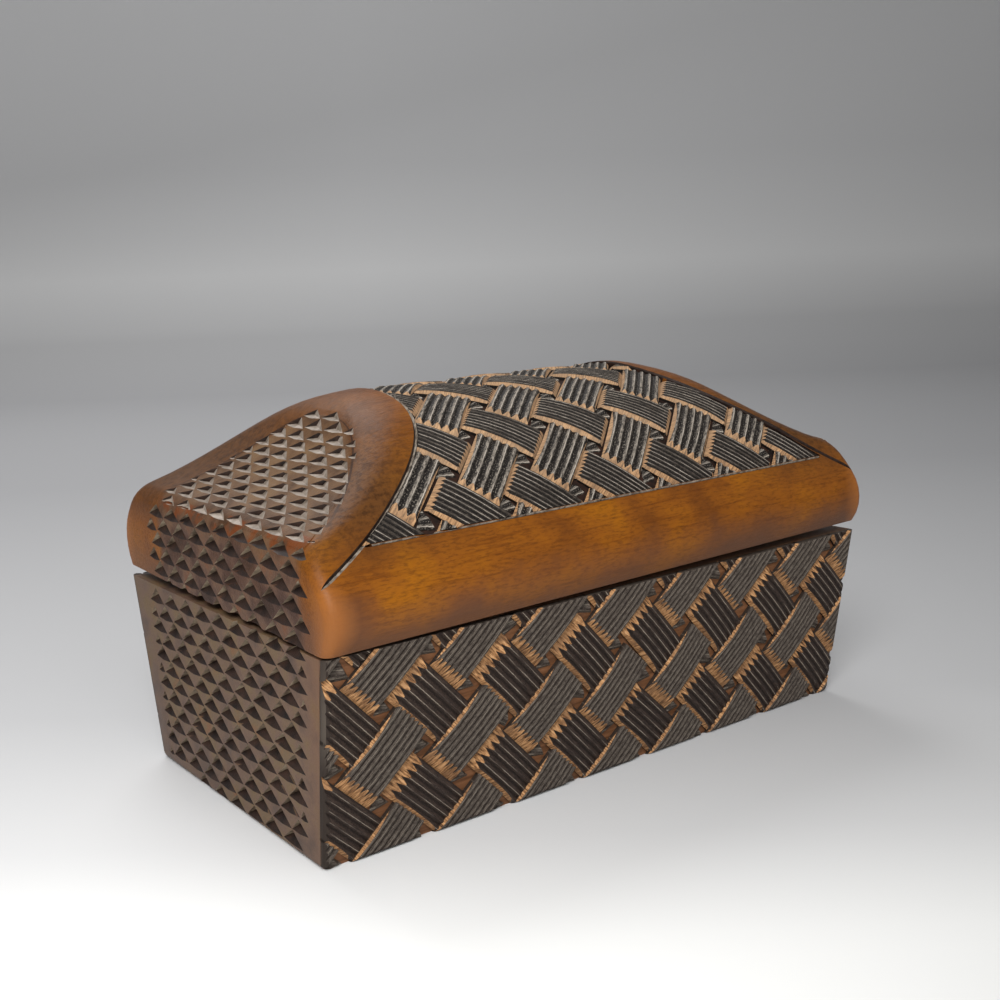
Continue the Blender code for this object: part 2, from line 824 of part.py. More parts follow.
def build_hinges(body, lid, parts, cutters, brass, steel, pivot):
    hands = ((-1, "left"), (1, "right"))
    body_leaves = {}
    lid_leaves = {}
    for side, hand in hands:
        x = side * hinge_spacing / 2
        body_leaves[side] = build_leaf(hand + "_hinge_body_leaf", x, False, parts, cutters, brass)
        lid_leaves[side] = build_leaf(hand + "_hinge_lid_leaf", x, True, parts, cutters, brass)
        build_pin(hand + "_hinge_pin", x, parts, steel)
    add_screws(body, body_leaves, False, parts, cutters, brass)
    moving = list(lid_leaves.values())
    moving += add_screws(lid, lid_leaves, True, parts, cutters, brass)
    for piece in moving:
        hang_on(piece, pivot)
    for piece in cutters.objects:
        if "_lid_leaf" in piece.name:
            hang_on(piece, pivot)
    for leaf in list(body_leaves.values()) + list(lid_leaves.values()):
        smooth(leaf)


def build():
    clear_scene()
    parts = make_collection("carved_wooden_trinket_box")
    cutters = make_collection("cutters")
    body_wood = make_material("stained beech", (0.082, 0.042, 0.022), 0.55)
    lid_wood = make_material("polished beech", (0.30, 0.115, 0.028), 0.38)
    brass = make_material("aged brass", (0.42, 0.27, 0.085), 0.40, 1.0)
    steel = make_material("dull steel", (0.25, 0.24, 0.23), 0.45, 1.0)

    pivot = bpy.data.objects.new("lid_hinge_axis", None)
    pivot.location = (0.0, hinge_depth, hinge_height)
    pivot.empty_display_size = leaf_length
    parts.objects.link(pivot)

    body = build_body(parts, cutters, body_wood)
    lid = build_lid(parts, cutters, lid_wood, pivot)
    build_hinges(body, lid, parts, cutters, brass, steel, pivot)


build()
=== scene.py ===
"""Finishes the carved wooden trinket box on its solid frame.

The solids give the outer level of the box, the main steps of its weave and plain chip cuts. Here each
strap of the weave is carved with its grooves and slanting cuts, each chip gets the curved foot and the
four facets that the knife leaves, and each surface gets its own wood, brass or steel. Lengths are in
millimetres up to the point where they meet Blender, which works in metres.
"""

import math
import random
from functools import partial

import bmesh
import bpy
from bpy.props import FloatProperty, FloatVectorProperty, IntProperty, PointerProperty
from bpy.types import Operator, Panel, PropertyGroup
from mathutils import Matrix, Vector


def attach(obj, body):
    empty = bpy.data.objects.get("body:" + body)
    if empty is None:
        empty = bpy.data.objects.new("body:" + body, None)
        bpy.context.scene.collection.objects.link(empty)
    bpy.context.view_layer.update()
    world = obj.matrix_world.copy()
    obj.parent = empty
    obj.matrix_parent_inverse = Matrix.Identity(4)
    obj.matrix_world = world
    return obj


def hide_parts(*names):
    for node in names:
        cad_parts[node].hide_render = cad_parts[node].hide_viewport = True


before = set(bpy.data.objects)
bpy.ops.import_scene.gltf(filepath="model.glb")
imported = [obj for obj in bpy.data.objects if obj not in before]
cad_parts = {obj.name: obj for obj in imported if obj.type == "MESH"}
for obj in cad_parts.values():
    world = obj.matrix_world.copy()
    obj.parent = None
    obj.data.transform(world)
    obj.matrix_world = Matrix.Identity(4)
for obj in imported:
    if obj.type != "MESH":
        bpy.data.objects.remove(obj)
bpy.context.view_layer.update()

bl_info = {
    "name": "Carved Wooden Trinket Box",
    "version": (1, 0, 0),
    "blender": (4, 5, 0),
    "location": "3D View > Sidebar > Trinket Box",
    "description": "Carves and finishes a hinged wooden trinket box on its solid frame",
    "category": "Object",
}

MM = 0.001

# The shape of the solids, in millimetres
RIM_LENGTH = 120.0
RIM_WIDTH = 73.6
BODY_HEIGHT = 34.8
END_FLARE = 0.7
SIDE_FLARE = 5.55
REAR_GAP = 2.1
CORNER_DROOP = 1.7
LID_RISE = 32.6
BAND_RADIUS = 8.0
BAND_BELLY = 5.0
SIDE_SLOPE = math.radians(51.4)
END_WALL = 12.0
SHOULDER_RADIUS = 4.2
HOOD_FOOT = math.radians(20.5)
HOOD_TOP = math.radians(46.8)
HOOD_RADIUS = 47.0

BAND_CENTRE = RIM_WIDTH / 2 - math.sqrt(BAND_RADIUS**2 - BAND_BELLY**2)
SLOPE_Y = BAND_CENTRE + BAND_RADIUS * math.sin(SIDE_SLOPE)
SLOPE_H = BAND_BELLY + BAND_RADIUS * math.cos(SIDE_SLOPE)
_tan = math.tan(SIDE_SLOPE)
RIDGE_RADIUS = (LID_RISE - SLOPE_H - _tan * SLOPE_Y) / (
    (1 - math.cos(SIDE_SLOPE)) - _tan * math.sin(SIDE_SLOPE)
)
BAND_ARC = BAND_RADIUS * (math.asin(BAND_BELLY / BAND_RADIUS) + math.pi / 2 - SIDE_SLOPE)
SLOPE_ARC = (LID_RISE - RIDGE_RADIUS * (1 - math.cos(SIDE_SLOPE)) - SLOPE_H) / math.sin(SIDE_SLOPE)
RIDGE_ARC = RIDGE_RADIUS * SIDE_SLOPE
TOP_ARC = BAND_ARC + SLOPE_ARC + RIDGE_ARC
FLARE_ANGLE = math.atan(SIDE_FLARE / BODY_HEIGHT)
FACE_HEIGHT = math.hypot(SIDE_FLARE, BODY_HEIGHT)
# The carved field of the hood lies between these along the end outline, and stands this much proud
HOOD_FIELD_FOOT = 14.9
HOOD_FIELD_TOP = 40.5
HOOD_SKIN = 0.04
# The horseshoe of chips: half length of its apex, its run from there, its middle line and its shape
HORSESHOE_APEX = 38.0
HORSESHOE_RUN = 20.0
HORSESHOE_Y = -2.0
HORSESHOE_POWER = 0.42
# The woven panel begins this far up the side outline, and is narrowest on the ridge
PANEL_START = 16.0
PANEL_WAIST = 27.3
# The chips: way from one to the next in a row, from row to row, and how much the rows sink to the back
CHIP_PERIOD = 6.6
CHIP_ROW = 2.67
CHIP_SINK = 0.038
CHIP_MIDDLE = -1.5
# The camera's place, in metres, and its directions, in radians, come from a fit to the photo
CAMERA_PLACE = (-0.14134, -0.18839, 0.08968)
YAW, PITCH, ROLL = 0.643, 0.188, -0.040


def settled(x, y, h):
    """A point h above the lid's rim, moved to where the closed lid lies."""
    droop = CORNER_DROOP * (0.5 - x / RIM_LENGTH) * (0.5 - y / RIM_WIDTH)
    return Vector((x, y, BODY_HEIGHT + REAR_GAP + h - droop)) * MM


def side_outline(arc):
    """The lid's outline across, arc above the front rim: y, height, and the outward direction."""
    side = -1.0
    if arc > TOP_ARC:
        arc = 2 * TOP_ARC - arc
        side = 1.0
    if arc < BAND_ARC:
        turn = arc / BAND_RADIUS - math.asin(BAND_BELLY / BAND_RADIUS)
        y = BAND_CENTRE + BAND_RADIUS * math.cos(turn)
        h = BAND_BELLY + BAND_RADIUS * math.sin(turn)
    elif arc < BAND_ARC + SLOPE_ARC:
        turn = math.pi / 2 - SIDE_SLOPE
        y = SLOPE_Y - (arc - BAND_ARC) * math.cos(SIDE_SLOPE)
        h = SLOPE_H + (arc - BAND_ARC) * math.sin(SIDE_SLOPE)
    else:
        turn = math.pi / 2 - SIDE_SLOPE + (arc - BAND_ARC - SLOPE_ARC) / RIDGE_RADIUS
        y = RIDGE_RADIUS * math.cos(turn)
        h = LID_RISE - RIDGE_RADIUS + RIDGE_RADIUS * math.sin(turn)
    return side * y, h, side * math.cos(turn), math.sin(turn)


def end_outline(arc):
    """The lid's outline lengthwise, arc above the rim: half length, height, outward direction."""
    wall, shoulder = END_WALL, SHOULDER_RADIUS * (math.pi / 2 - HOOD_FOOT)
    hollow = HOOD_RADIUS * (HOOD_TOP - HOOD_FOOT)
    xs = RIM_LENGTH / 2 - SHOULDER_RADIUS * (1 - math.sin(HOOD_FOOT))
    hs = END_WALL + SHOULDER_RADIUS * math.cos(HOOD_FOOT)
    xc = xs - HOOD_RADIUS * (math.sin(HOOD_TOP) - math.sin(HOOD_FOOT))
    hc = hs + HOOD_RADIUS * (math.cos(HOOD_FOOT) - math.cos(HOOD_TOP))
    crown = (LID_RISE - hc) / (1 - math.cos(HOOD_TOP))
    if arc < wall:
        return RIM_LENGTH / 2, arc, 1.0, 0.0
    if arc < wall + shoulder:
        turn = (arc - wall) / SHOULDER_RADIUS
        x = RIM_LENGTH / 2 - SHOULDER_RADIUS * (1 - math.cos(turn))
        return x, END_WALL + SHOULDER_RADIUS * math.sin(turn), math.cos(turn), math.sin(turn)
    if arc < wall + shoulder + hollow:
        turn = HOOD_FOOT + (arc - wall - shoulder) / HOOD_RADIUS
        x = xs - HOOD_RADIUS * (math.sin(turn) - math.sin(HOOD_FOOT))
        h = hs + HOOD_RADIUS * (math.cos(HOOD_FOOT) - math.cos(turn))
        return x, h, math.sin(turn), math.cos(turn)
    turn = max(HOOD_TOP - (arc - wall - shoulder - hollow) / crown, 0.0)
    x = xc - crown * (math.sin(HOOD_TOP) - math.sin(turn))
    h = LID_RISE - crown * (1 - math.cos(turn))
    return x, h, math.sin(turn), math.cos(turn)


def on_lid(x, arc, out):
    """Bends a flat layout of the lid panel over the lid."""
    y, h, ny, nh = side_outline(arc)
    return settled(x, y + ny * out, h + nh * out)


def on_front(x, up, out):
    """Leans a flat layout against the flared front of the body."""
    foot = RIM_WIDTH / 2 - SIDE_FLARE
    s, c = math.sin(FLARE_ANGLE), math.cos(FLARE_ANGLE)
    return Vector((x, -foot - up * s - out * c, up * c - out * s)) * MM


def on_back(x, up, out):
    """The same layout on the back, turned round with the box."""
    p = on_front(x, up, out)
    return Vector((-p.x, -p.y, p.z))


def panel_edge(y, left):
    """Half length of the woven panel of the lid, y from its middle line.

    It grows from the ridge to the rim by a power curve, which is steeper on the left.
    """
    return PANEL_WAIST + 30.6 * (min(abs(y), 37.0) / 36.3) ** (3.5 if left else 2.6)


def colour(text):
    """An sRGB hex value as a linear colour."""
    parts = [int(text[i : i + 2], 16) / 255 for i in (1, 3, 5)]
    return tuple(c / 12.92 if c <= 0.04045 else ((c + 0.055) / 1.055) ** 2.4 for c in parts) + (1.0,)


def colour_prop(name, description, text):
    return FloatVectorProperty(
        name=name, description=description, subtype="COLOR", size=4, min=0, max=1, default=colour(text)
    )


def length_prop(name, description, size):
    return FloatProperty(name=name, description=description, default=size * MM, unit="LENGTH")


class TRINKET_PG_carving(PropertyGroup):
    strap_width: length_prop("Strap width", "Width of one woven strap", 8.0)
    cell: length_prop("Weave cell", "Distance from one crossing to the next along the box", 15.73)
    lid_cell: length_prop("Lid weave cell", "The same distance on the lid", 15.5)
    relief: length_prop("Relief", "Depth of the weave's ground below the straps", 1.35)
    groove_depth: length_prop("Groove depth", "Depth of the lengthwise grooves in a strap", 0.38)
    chip_width: length_prop("Chip width", "Width of one three-cornered chip cut", 6.4)
    chip_height: length_prop("Chip height", "Height of one chip cut", 2.5)
    chip_depth: length_prop("Chip depth", "Depth of one chip cut", 1.25)
    seed: IntProperty(name="Seed", description="Chooses another set of small hand errors", default=11)


class TRINKET_PG_finish(PropertyGroup):
    wax: colour_prop("Waxed wood", "Polished orange-brown wood of the lid", "#7a4612")
    wax_dark: colour_prop("Waxed wood, dark grain", "Darker growth lines of the lid", "#4c2408")
    # The worn tone also serves as the painted highlight on the lid's rounded corners
    wax_worn_and_highlight: colour_prop("Waxed wood, worn", "Where handling has rubbed the lid bright", "#9a6030")
    rubbed: colour_prop("Rubbed end wood", "Stained ends between the chip cuts", "#6a5242")
    strap: colour_prop("Strap stain", "Dark stain on the woven straps", "#2b221c")
    # The crest colour is rubbed stain and also a painted highlight
    strap_crest: colour_prop("Strap crest", "Stain rubbed grey on the crests", "#625950")
    fresh: colour_prop("Cut wood", "Clean slanting cuts at the ends of the straps", "#b4885e")
    brass: colour_prop("Brass", "Aged brass of the hinges", "#8c7442")
    steel: colour_prop("Steel", "Dull steel of the hinge pins", "#8a8782")


# Working helpers


def use(obj):
    """Makes one object the only one selected."""
    bpy.ops.object.select_all(action="DESELECT")
    obj.select_set(True)
    bpy.context.view_layer.objects.active = obj
    return obj


def edit(obj):
    """Opens one object in edit mode, with all of it selected."""
    use(obj)
    bpy.ops.object.mode_set(mode="EDIT")
    bpy.ops.mesh.select_all(action="SELECT")
    return obj


def close():
    """Leaves edit mode."""
    bpy.ops.object.mode_set(mode="OBJECT")


def primitive(add_shape, name, *materials, **settings):
    """Adds a mesh primitive with its materials, open in edit mode with all of it selected."""
    bpy.ops.object.select_all(action="DESELECT")
    add_shape(**settings)
    obj = bpy.context.object
    obj.name = name
    for material in materials:
        obj.data.materials.append(material)
    return edit(obj)


def pick(obj, test, kind="VERT"):
    """In edit mode, selects the points, or the edges, that pass the test."""
    bpy.ops.mesh.select_mode(type=kind)
    bpy.ops.mesh.select_all(action="DESELECT")
    mesh = bmesh.from_edit_mesh(obj.data)
    for item in mesh.verts if kind == "VERT" else mesh.edges:
        if test(item.co / MM if kind == "VERT" else item):
            item.select_set(True)
    mesh.select_flush_mode()
    bmesh.update_edit_mesh(obj.data)


def move(x, y, z):
    """In edit mode, moves what is selected, in millimetres."""
    bpy.ops.transform.translate(value=(x * MM, y * MM, z * MM))


def extrude(up, level=None):
    """In edit mode, extrudes what is selected upwards, and flattens it at a level."""
    bpy.ops.mesh.extrude_region_move(TRANSFORM_OT_translate={"value": (0, 0, up * MM)})
    if level is not None:
        bpy.ops.transform.resize(value=(1, 1, 0), center_override=(0, 0, level * MM))


def turn_outward():
    """In edit mode, selects all and turns its faces outward."""
    bpy.ops.mesh.select_all(action="SELECT")
    bpy.ops.mesh.normals_make_consistent(inside=False)


def join(pieces, name):
    """Joins like pieces into one object."""
    bpy.ops.object.select_all(action="DESELECT")
    for piece in pieces:
        piece.select_set(True)
    bpy.context.view_layer.objects.active = pieces[0]
    bpy.ops.object.join()
    pieces[0].name = name
    return pieces[0]


def place(obj, position):
    """Moves every point of a flat layout, in millimetres, to its position on the box."""
    for vertex in obj.data.vertices:
        vertex.co = position(*(vertex.co / MM))
    obj.data.update()


def cut(obj, tool, operation="DIFFERENCE", crossing=False):
    """Cuts one closed piece with another, whose material stays on the cut.

    crossing says that the parts of the tool may run into each other.
    """
    use(obj)
    step = obj.modifiers.new("cut", "BOOLEAN")
    step.operation = operation
    step.solver = "EXACT"
    step.use_self = crossing
    step.material_mode = "TRANSFER"
    step.object = tool
    bpy.ops.object.modifier_apply(modifier=step.name)
    return obj


def discard(obj):
    mesh = obj.data
    bpy.data.objects.remove(obj)
    bpy.data.meshes.remove(mesh)


def without_empty(pieces):
    """Leaves out the straps of which a border has left nothing."""
    for piece in [p for p in pieces if not p.data.polygons]:
        pieces.remove(piece)
        discard(piece)
    return pieces


def copy_of(obj, name):
    twin = obj.copy()
    twin.data = obj.data.copy()
    twin.name = name
    bpy.context.collection.objects.link(twin)
    return twin


def node_copy(node, name):
    """A merged copy of a solid, to be carved in its place."""
    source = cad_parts[node]
    mesh = source.data.copy()
    obj = bpy.data.objects.new(name, mesh)
    bpy.context.collection.objects.link(obj)
    edit(obj)
    bpy.ops.mesh.remove_doubles(threshold=1e-7)
    bpy.ops.mesh.customdata_custom_splitnormals_clear()
    close()
    mesh.materials.clear()
    return obj


def flat_shell(name, rows, columns, low, high, position, material):
    """A closed slab from a unit grid: position(u, v, out) puts it on the box, out from low to high."""
    grid = bpy.ops.mesh.primitive_grid_add
    obj = primitive(grid, name, material, x_subdivisions=columns, y_subdivisions=rows, size=2 * MM)
    move(0, 0, low)
    extrude(high - low)
    close()
    place(obj, position)
    outward(obj)
    return obj


def outward(obj):
    edit(obj)
    turn_outward()
    close()


def check_whole(obj, faces):
    """Stops the operator if a cut has lost the shape."""
    left = len(obj.data.polygons)
    if left < faces:
        raise RuntimeError(f"{obj.name} has lost its shape in a cut, {left} faces are left")


def finish_shading(obj, angle=30):
    """Smooth where the form is round, crisp at each cut."""
    edit(obj)
    pick(obj, lambda edge: len({face.material_index for face in edge.link_faces}) > 1, "EDGE")
    bpy.ops.mesh.mark_sharp()
    close()
    bpy.ops.object.shade_smooth_by_angle(angle=math.radians(angle), keep_sharp_edges=True)


# Materials


def new_material(name):
    """A material with an empty tree, and the function that adds a node to it."""
    material = bpy.data.materials.new(name)
    material.use_nodes = True
    material.node_tree.nodes.clear()
    return material, partial(add, material.node_tree)


def add(tree, kind, *values, stops=(), output=None, **named):
    """Adds one node and gives its first output, or the named one.

    Values go to the inputs in use, in their order. A named value is a setting if it starts small, or
    else an input. A text value is a colour.
    """
    node = tree.nodes.new("ShaderNode" + kind)
    inputs = []
    for key, value in named.items():
        if key[0].islower():
            setattr(node, key, value)
        else:
            inputs.append((node.inputs[key.replace("_", " ")], value))
    inputs += zip([socket for socket in node.inputs if socket.enabled], values)
    for socket, value in inputs:
        if isinstance(value, bpy.types.NodeSocket):
            tree.links.new(value, socket)
        else:
            socket.default_value = colour(value) if isinstance(value, str) else value
    if stops:
        elements = node.color_ramp.elements
        while len(elements) < len(stops):
            elements.new(1.0)
        for element, (position, value) in zip(elements, stops):
            element.position = position
            element.color = colour(value) if isinstance(value, str) else value
    outputs = [socket for socket in node.outputs if socket.enabled]
    return node.outputs[output] if output else outputs[0] if outputs else None


# Settings that many nodes share
MIX = {"data_type": "RGBA"}
TIMES = {"operation": "MULTIPLY"}
PLUS = {"operation": "ADD"}


def millimetres(add):
    """Object coordinates in millimetres."""
    return add("VectorMath", add("TexCoord", output="Object"), 1000.0, operation="SCALE")


def surface(add, base, roughness, height, bump_mm, **constants):
    """The shader and the output. Constants go on the shader's own sockets."""
    normal = add("Bump", Strength=1.0, Distance=bump_mm * MM, Height=height)
    shader = add("BsdfPrincipled", Base_Color=base, Roughness=roughness, Normal=normal, **constants)
    add("OutputMaterial", shader)


def waxed_fruitwood(look):
    """Stained fruitwood, planed, waxed and rubbed: a warm brown with long grain and a soft gloss."""
    material, add = new_material("waxed_stained_fruitwood")
    mm = millimetres(add)
    # Growth lines 0.7 mm apart and about 15 mm long
    along = add("Mapping", mm, Scale=(0.07, 1.4, 1.4))
    grain = add("TexNoise", along, 1.0, Detail=6.0, Roughness=0.6, Distortion=0.5)
    # Short flecks about 0.4 by 1.5 mm
    short = add("Mapping", mm, Scale=(0.7, 2.6, 2.6))
    fleck = add("TexNoise", short, 1.0, Detail=4.0, Roughness=0.65)
    # Cloudy stain, 10 to 15 mm across
    cloud = add("TexNoise", mm, 0.085, Detail=4.0, Roughness=0.55)
    tone = add("ValToRGB", cloud, stops=[(0.34, "#643812"), (0.50, look.wax), (0.66, "#89520f")])
    lines = add("ValToRGB", grain, stops=[(0.30, "#ffffff"), (0.48, "#000000")])
    tone = add("Mix", add("Math", lines, 0.55, **TIMES), tone, look.wax_dark, **MIX)
    flecks = add("ValToRGB", fleck, stops=[(0.47, "#000000"), (0.64, "#ffffff")])
    tone = add("Mix", add("Math", flecks, 0.5, **TIMES), tone, "#4a280c", **MIX)
    # Painted shade: the band is darker and greyer towards the rim of the lid, where it turns away from the
    # light
    parts = [add("SeparateXYZ", mm, output=axis) for axis in "XYZ"]
    wobble = add("Math", cloud, 9.0, parts[2], operation="MULTIPLY_ADD")
    tone = add("Mix", add("MapRange", wobble, 48.5, 41.0, 0.0, 0.8), tone, "#5e4130", **MIX)
    # The ridge of the hood and its border are browner than the slope
    away = add("Math", parts[0], operation="ABSOLUTE")
    hooded = add("MapRange", away, 28.0, 44.0, 0.0, 0.85)
    hooded = add("Math", hooded, add("MapRange", parts[2], 46.0, 54.0), **TIMES)
    tone = add("Mix", hooded, tone, "#52351b", **MIX)
    # Mottled dirt in the pores of the hood, spots about 1 mm across
    mottle = add("TexNoise", mm, 0.9, Detail=5.0, Roughness=0.7)
    mottle = add("MapRange", mottle, 0.46, 0.62, 0.0, 0.75)
    tone = add("Mix", add("Math", mottle, hooded, **TIMES), tone, "#2c190c", **MIX)
    # The horseshoe of chips: its edge is a power curve of the distance from its apex
    run = add("MapRange", away, HORSESHOE_APEX, HORSESHOE_APEX + HORSESHOE_RUN)
    spread = add("Math", run, HORSESHOE_POWER, operation="POWER")
    middle = add("Math", parts[1], -HORSESHOE_Y, **PLUS)
    front = add("Math", middle, -29.5, operation="DIVIDE")
    back = add("Math", middle, 23.5, operation="DIVIDE")
    widest = add("Math", front, back, operation="MAXIMUM")
    within = add("Math", spread, widest, operation="SUBTRACT")
    field = add("MapRange", within, -0.01, 0.07, 0.0, 0.85)
    patches = add("TexNoise", mm, 0.13, Detail=5.0, Roughness=0.6)
    stops = [(0.36, "#241814"), (0.46, "#44312a"), (0.56, "#5e483a"), (0.66, "#6a3f26")]
    wall_land = add("ValToRGB", patches, stops=stops)
    hood_land = add("ValToRGB", patches, stops=[(0.34, "#44301f"), (0.50, "#644a33"), (0.62, "#71573c")])
    lands = add("Mix", add("MapRange", wobble, 59.0, 51.0), hood_land, wall_land, **MIX)
    tone = add("Mix", field, tone, lands, **MIX)
    # A scribed line runs round the top of the horseshoe
    scribed = add("Math", within, -0.015, 0.011, operation="COMPARE")
    scribed = add("Math", scribed, add("MapRange", run, 0.0, 0.01, 0.0, 0.8), **TIMES)
    scribed = add("Math", scribed, add("MapRange", parts[2], 51.0, 55.0), **TIMES)
    tone = add("Mix", scribed, tone, "#2c180c", **MIX)
    # Orange wax lies in patches along the crease between the end wall and the hood
    crease = add("Math", parts[2], 50.2, 1.3, operation="COMPARE")
    blotch = add("MapRange", add("TexNoise", mm, 0.28, Detail=4.0), 0.47, 0.56, 0.0, 0.85)
    residue = add("Math", add("Math", crease, blotch, **TIMES), field, **TIMES)
    tone = add("Mix", residue, tone, "#6e3610", **MIX)
    # Handling has worn the upright corners bright, and the bright tone also paints the highlight along their
    # rounded edges
    corner = add("Math", away, add("Math", parts[1], operation="ABSOLUTE"), **PLUS)
    corner = add("MapRange", corner, 93.0, 96.5, 0.0, 0.6)
    tone = add("Mix", corner, tone, look.wax_worn_and_highlight, **MIX)
    rough = add("MapRange", fleck, 0.3, 0.7, 0.30, 0.44)
    surface(add, tone, rough, add("Math", grain, fleck, **PLUS), 0.05, Specular_IOR_Level=0.09)
    return material


def rubbed_end_wood(look):
    """Stained end wood rubbed by hands: taupe with olive and rust patches, a dull gloss."""
    material, add = new_material("rubbed_stained_end_wood")
    mm = millimetres(add)
    cloud = add("TexNoise", mm, 0.16, Detail=5.0, Roughness=0.6)
    stops = [(0.30, "#4a382e"), (0.48, look.rubbed), (0.60, "#6e5a40"), (0.72, "#7d5236")]
    tone = add("ValToRGB", cloud, stops=stops)
    # Fine pores, 0.3 mm
    pores = add("TexNoise", mm, 3.0, Detail=4.0, Roughness=0.7)
    dark = add("ValToRGB", pores, stops=[(0.42, "#ffffff"), (0.58, "#000000")])
    tone = add("Mix", add("Math", dark, 0.3, **TIMES), tone, "#4b382e", **MIX)
    # The front corner of each end is worn to a clear tan
    corner = add("MapRange", add("SeparateXYZ", mm, output="Y"), -27.0, -36.0, 0.0, 0.75)
    tone = add("Mix", corner, tone, "#6e4e38", **MIX)
    surface(add, tone, add("MapRange", cloud, 0.3, 0.7, 0.42, 0.58), pores, 0.03, Specular_IOR_Level=0.2)
    return material


def chip_floor(name, low, high, bump_mm):
    """Knife-cut floors of the chip carving, finely scored: dark tones are stain and painted shade, pale
    tones are painted highlight and sheen.
    """
    material, add = new_material(name)
    mm = millimetres(add)
    cloud = add("TexNoise", mm, 0.5, Detail=4.0, Roughness=0.6)
    tone = add("ValToRGB", cloud, stops=[(0.35, low), (0.65, high)])
    score = add("TexNoise", mm, 4.0, Detail=3.0, Roughness=0.7)
    surface(add, tone, 0.45, score, bump_mm, Specular_IOR_Level=0.3)
    return material


def strap_wood(name, dark, crest, line, pale, wide, line_at):
    """Stained straps of the weave: near black in the grooves, rubbed grey and painted highlight on the
    crests.

    wide is how far the rubbing and the painted highlight reach from a crest, and line_at where the painted
    highlight lines run, both as shares of a ridge.
    """
    material, add = new_material(name)
    uv = add("UVMap", uv_map="UVMap")
    # V counts the ridges across a strap, U is in millimetres along it
    across = add("Math", add("SeparateXYZ", uv, output="Y"), operation="FRACT")
    centred = add("Math", across, 0.5, operation="SUBTRACT")
    off = add("Math", centred, operation="ABSOLUTE")
    # Wood fibres about 0.25 mm across and 1.5 mm long
    fibre = add("TexNoise", add("Mapping", uv, Scale=(0.8, 4.0, 1.0)), 1.0, Detail=6.0, Roughness=0.8)
    # Rubbed grey on the crests, which is also a painted highlight
    wear_and_highlight = add("MapRange", off, wide, wide - 0.14, 0.0, 1.0)
    rub_and_highlight = add("Math", wear_and_highlight, add("MapRange", fibre, 0.42, 0.6, 0.0, pale), **TIMES)
    tone = add("Mix", rub_and_highlight, dark, crest, **MIX)
    # Thin bright lines where the gouge broke an edge: a painted highlight where the edges catch the light
    waver = add("Math", fibre, 0.2, centred, operation="MULTIPLY_ADD")
    edge = add("Math", waver, line_at, 0.045, operation="COMPARE")
    patch = add("TexNoise", add("Mapping", uv, Scale=(0.12, 1.3, 1.0)), 1.0, Detail=3.0)
    lit = add("Math", edge, add("MapRange", patch, 0.40, 0.55, 0.0, 0.8), **TIMES)
    tone = add("Mix", lit, tone, line, **MIX)
    # Specks of bare wood about 0.15 by 0.4 mm
    speck = add("TexNoise", add("Mapping", uv, Scale=(2.6, 8.0, 1.0)), 1.0, Detail=2.0)
    tone = add("Mix", add("MapRange", speck, 0.57, 0.68, 0.0, 0.65), tone, crest, **MIX)
    surface(add, tone, 0.62, fibre, 0.2, Specular_IOR_Level=0.22)
    return material


def cut_wood(look):
    """Clean knife cuts across the fibres: light orange-tan, matt and fibrous."""
    material, add = new_material("fresh_knife_cut_wood")
    uv = add("UVMap", uv_map="UVMap")
    # Torn fibres about 0.3 mm apart, with stain left between them
    fibre = add("TexNoise", add("Mapping", uv, Scale=(0.45, 3.6, 1.0)), 1.0, Detail=5.0, Roughness=0.7)
    stops = [(0.38, "#38261a"), (0.47, "#8c6440"), (0.56, look.fresh), (0.72, "#c79f74")]
    tone = add("ValToRGB", fibre, stops=stops)
    # Stain has run over some of them, in patches about 3 mm long
    stain = add("TexNoise", add("Mapping", uv, Scale=(0.4, 0.4, 1.0)), 1.0, Detail=3.0)
    tone = add("Mix", add("MapRange", stain, 0.46, 0.64, 0.0, 0.6), tone, "#5e4330", **MIX)
    # The lid's cuts are paler, because they have been rubbed
    high = add("MapRange", add("SeparateXYZ", millimetres(add), output="Z"), 44.0, 58.0, 0.0, 0.4)
    tone = add("Mix", high, tone, "#b39a7e", **MIX)
    surface(add, tone, 0.7, fibre, 0.16, Specular_IOR_Level=0.15)
    return material


def plain_wood(name, low, high, grain_scale, rough):
    """Wood left from the gouge and the saw: long soft grain, matt."""
    material, add = new_material(name)
    along = add("Mapping", millimetres(add), Scale=grain_scale)
    grain = add("TexNoise", along, 1.0, Detail=6.0, Roughness=0.6, Distortion=0.4)
    tone = add("ValToRGB", grain, stops=[(0.36, low), (0.64, high)])
    surface(add, tone, rough, grain, 0.08, Specular_IOR_Level=0.2)
    return material


def worn_metal(name, base, tarnish, rough_low, rough_high):
    """Old metal with a brushed face: tarnish in soft spots, fine scratches along its length."""
    material, add = new_material(name)
    mm = millimetres(add)
    spots = add("TexNoise", mm, 0.9, Detail=5.0, Roughness=0.65)
    tone = add("ValToRGB", spots, stops=[(0.36, tarnish), (0.60, base)])
    # Brush lines 0.12 mm apart, drawn coarser than real so that they show
    lines = add("TexNoise", add("Mapping", mm, Scale=(0.5, 8.0, 8.0)), 1.0, Detail=3.0)
    rough = add("MapRange", spots, 0.3, 0.65, rough_high, rough_low)
    surface(add, tone, rough, lines, 0.02, Metallic=1.0)
    return material


# The weave


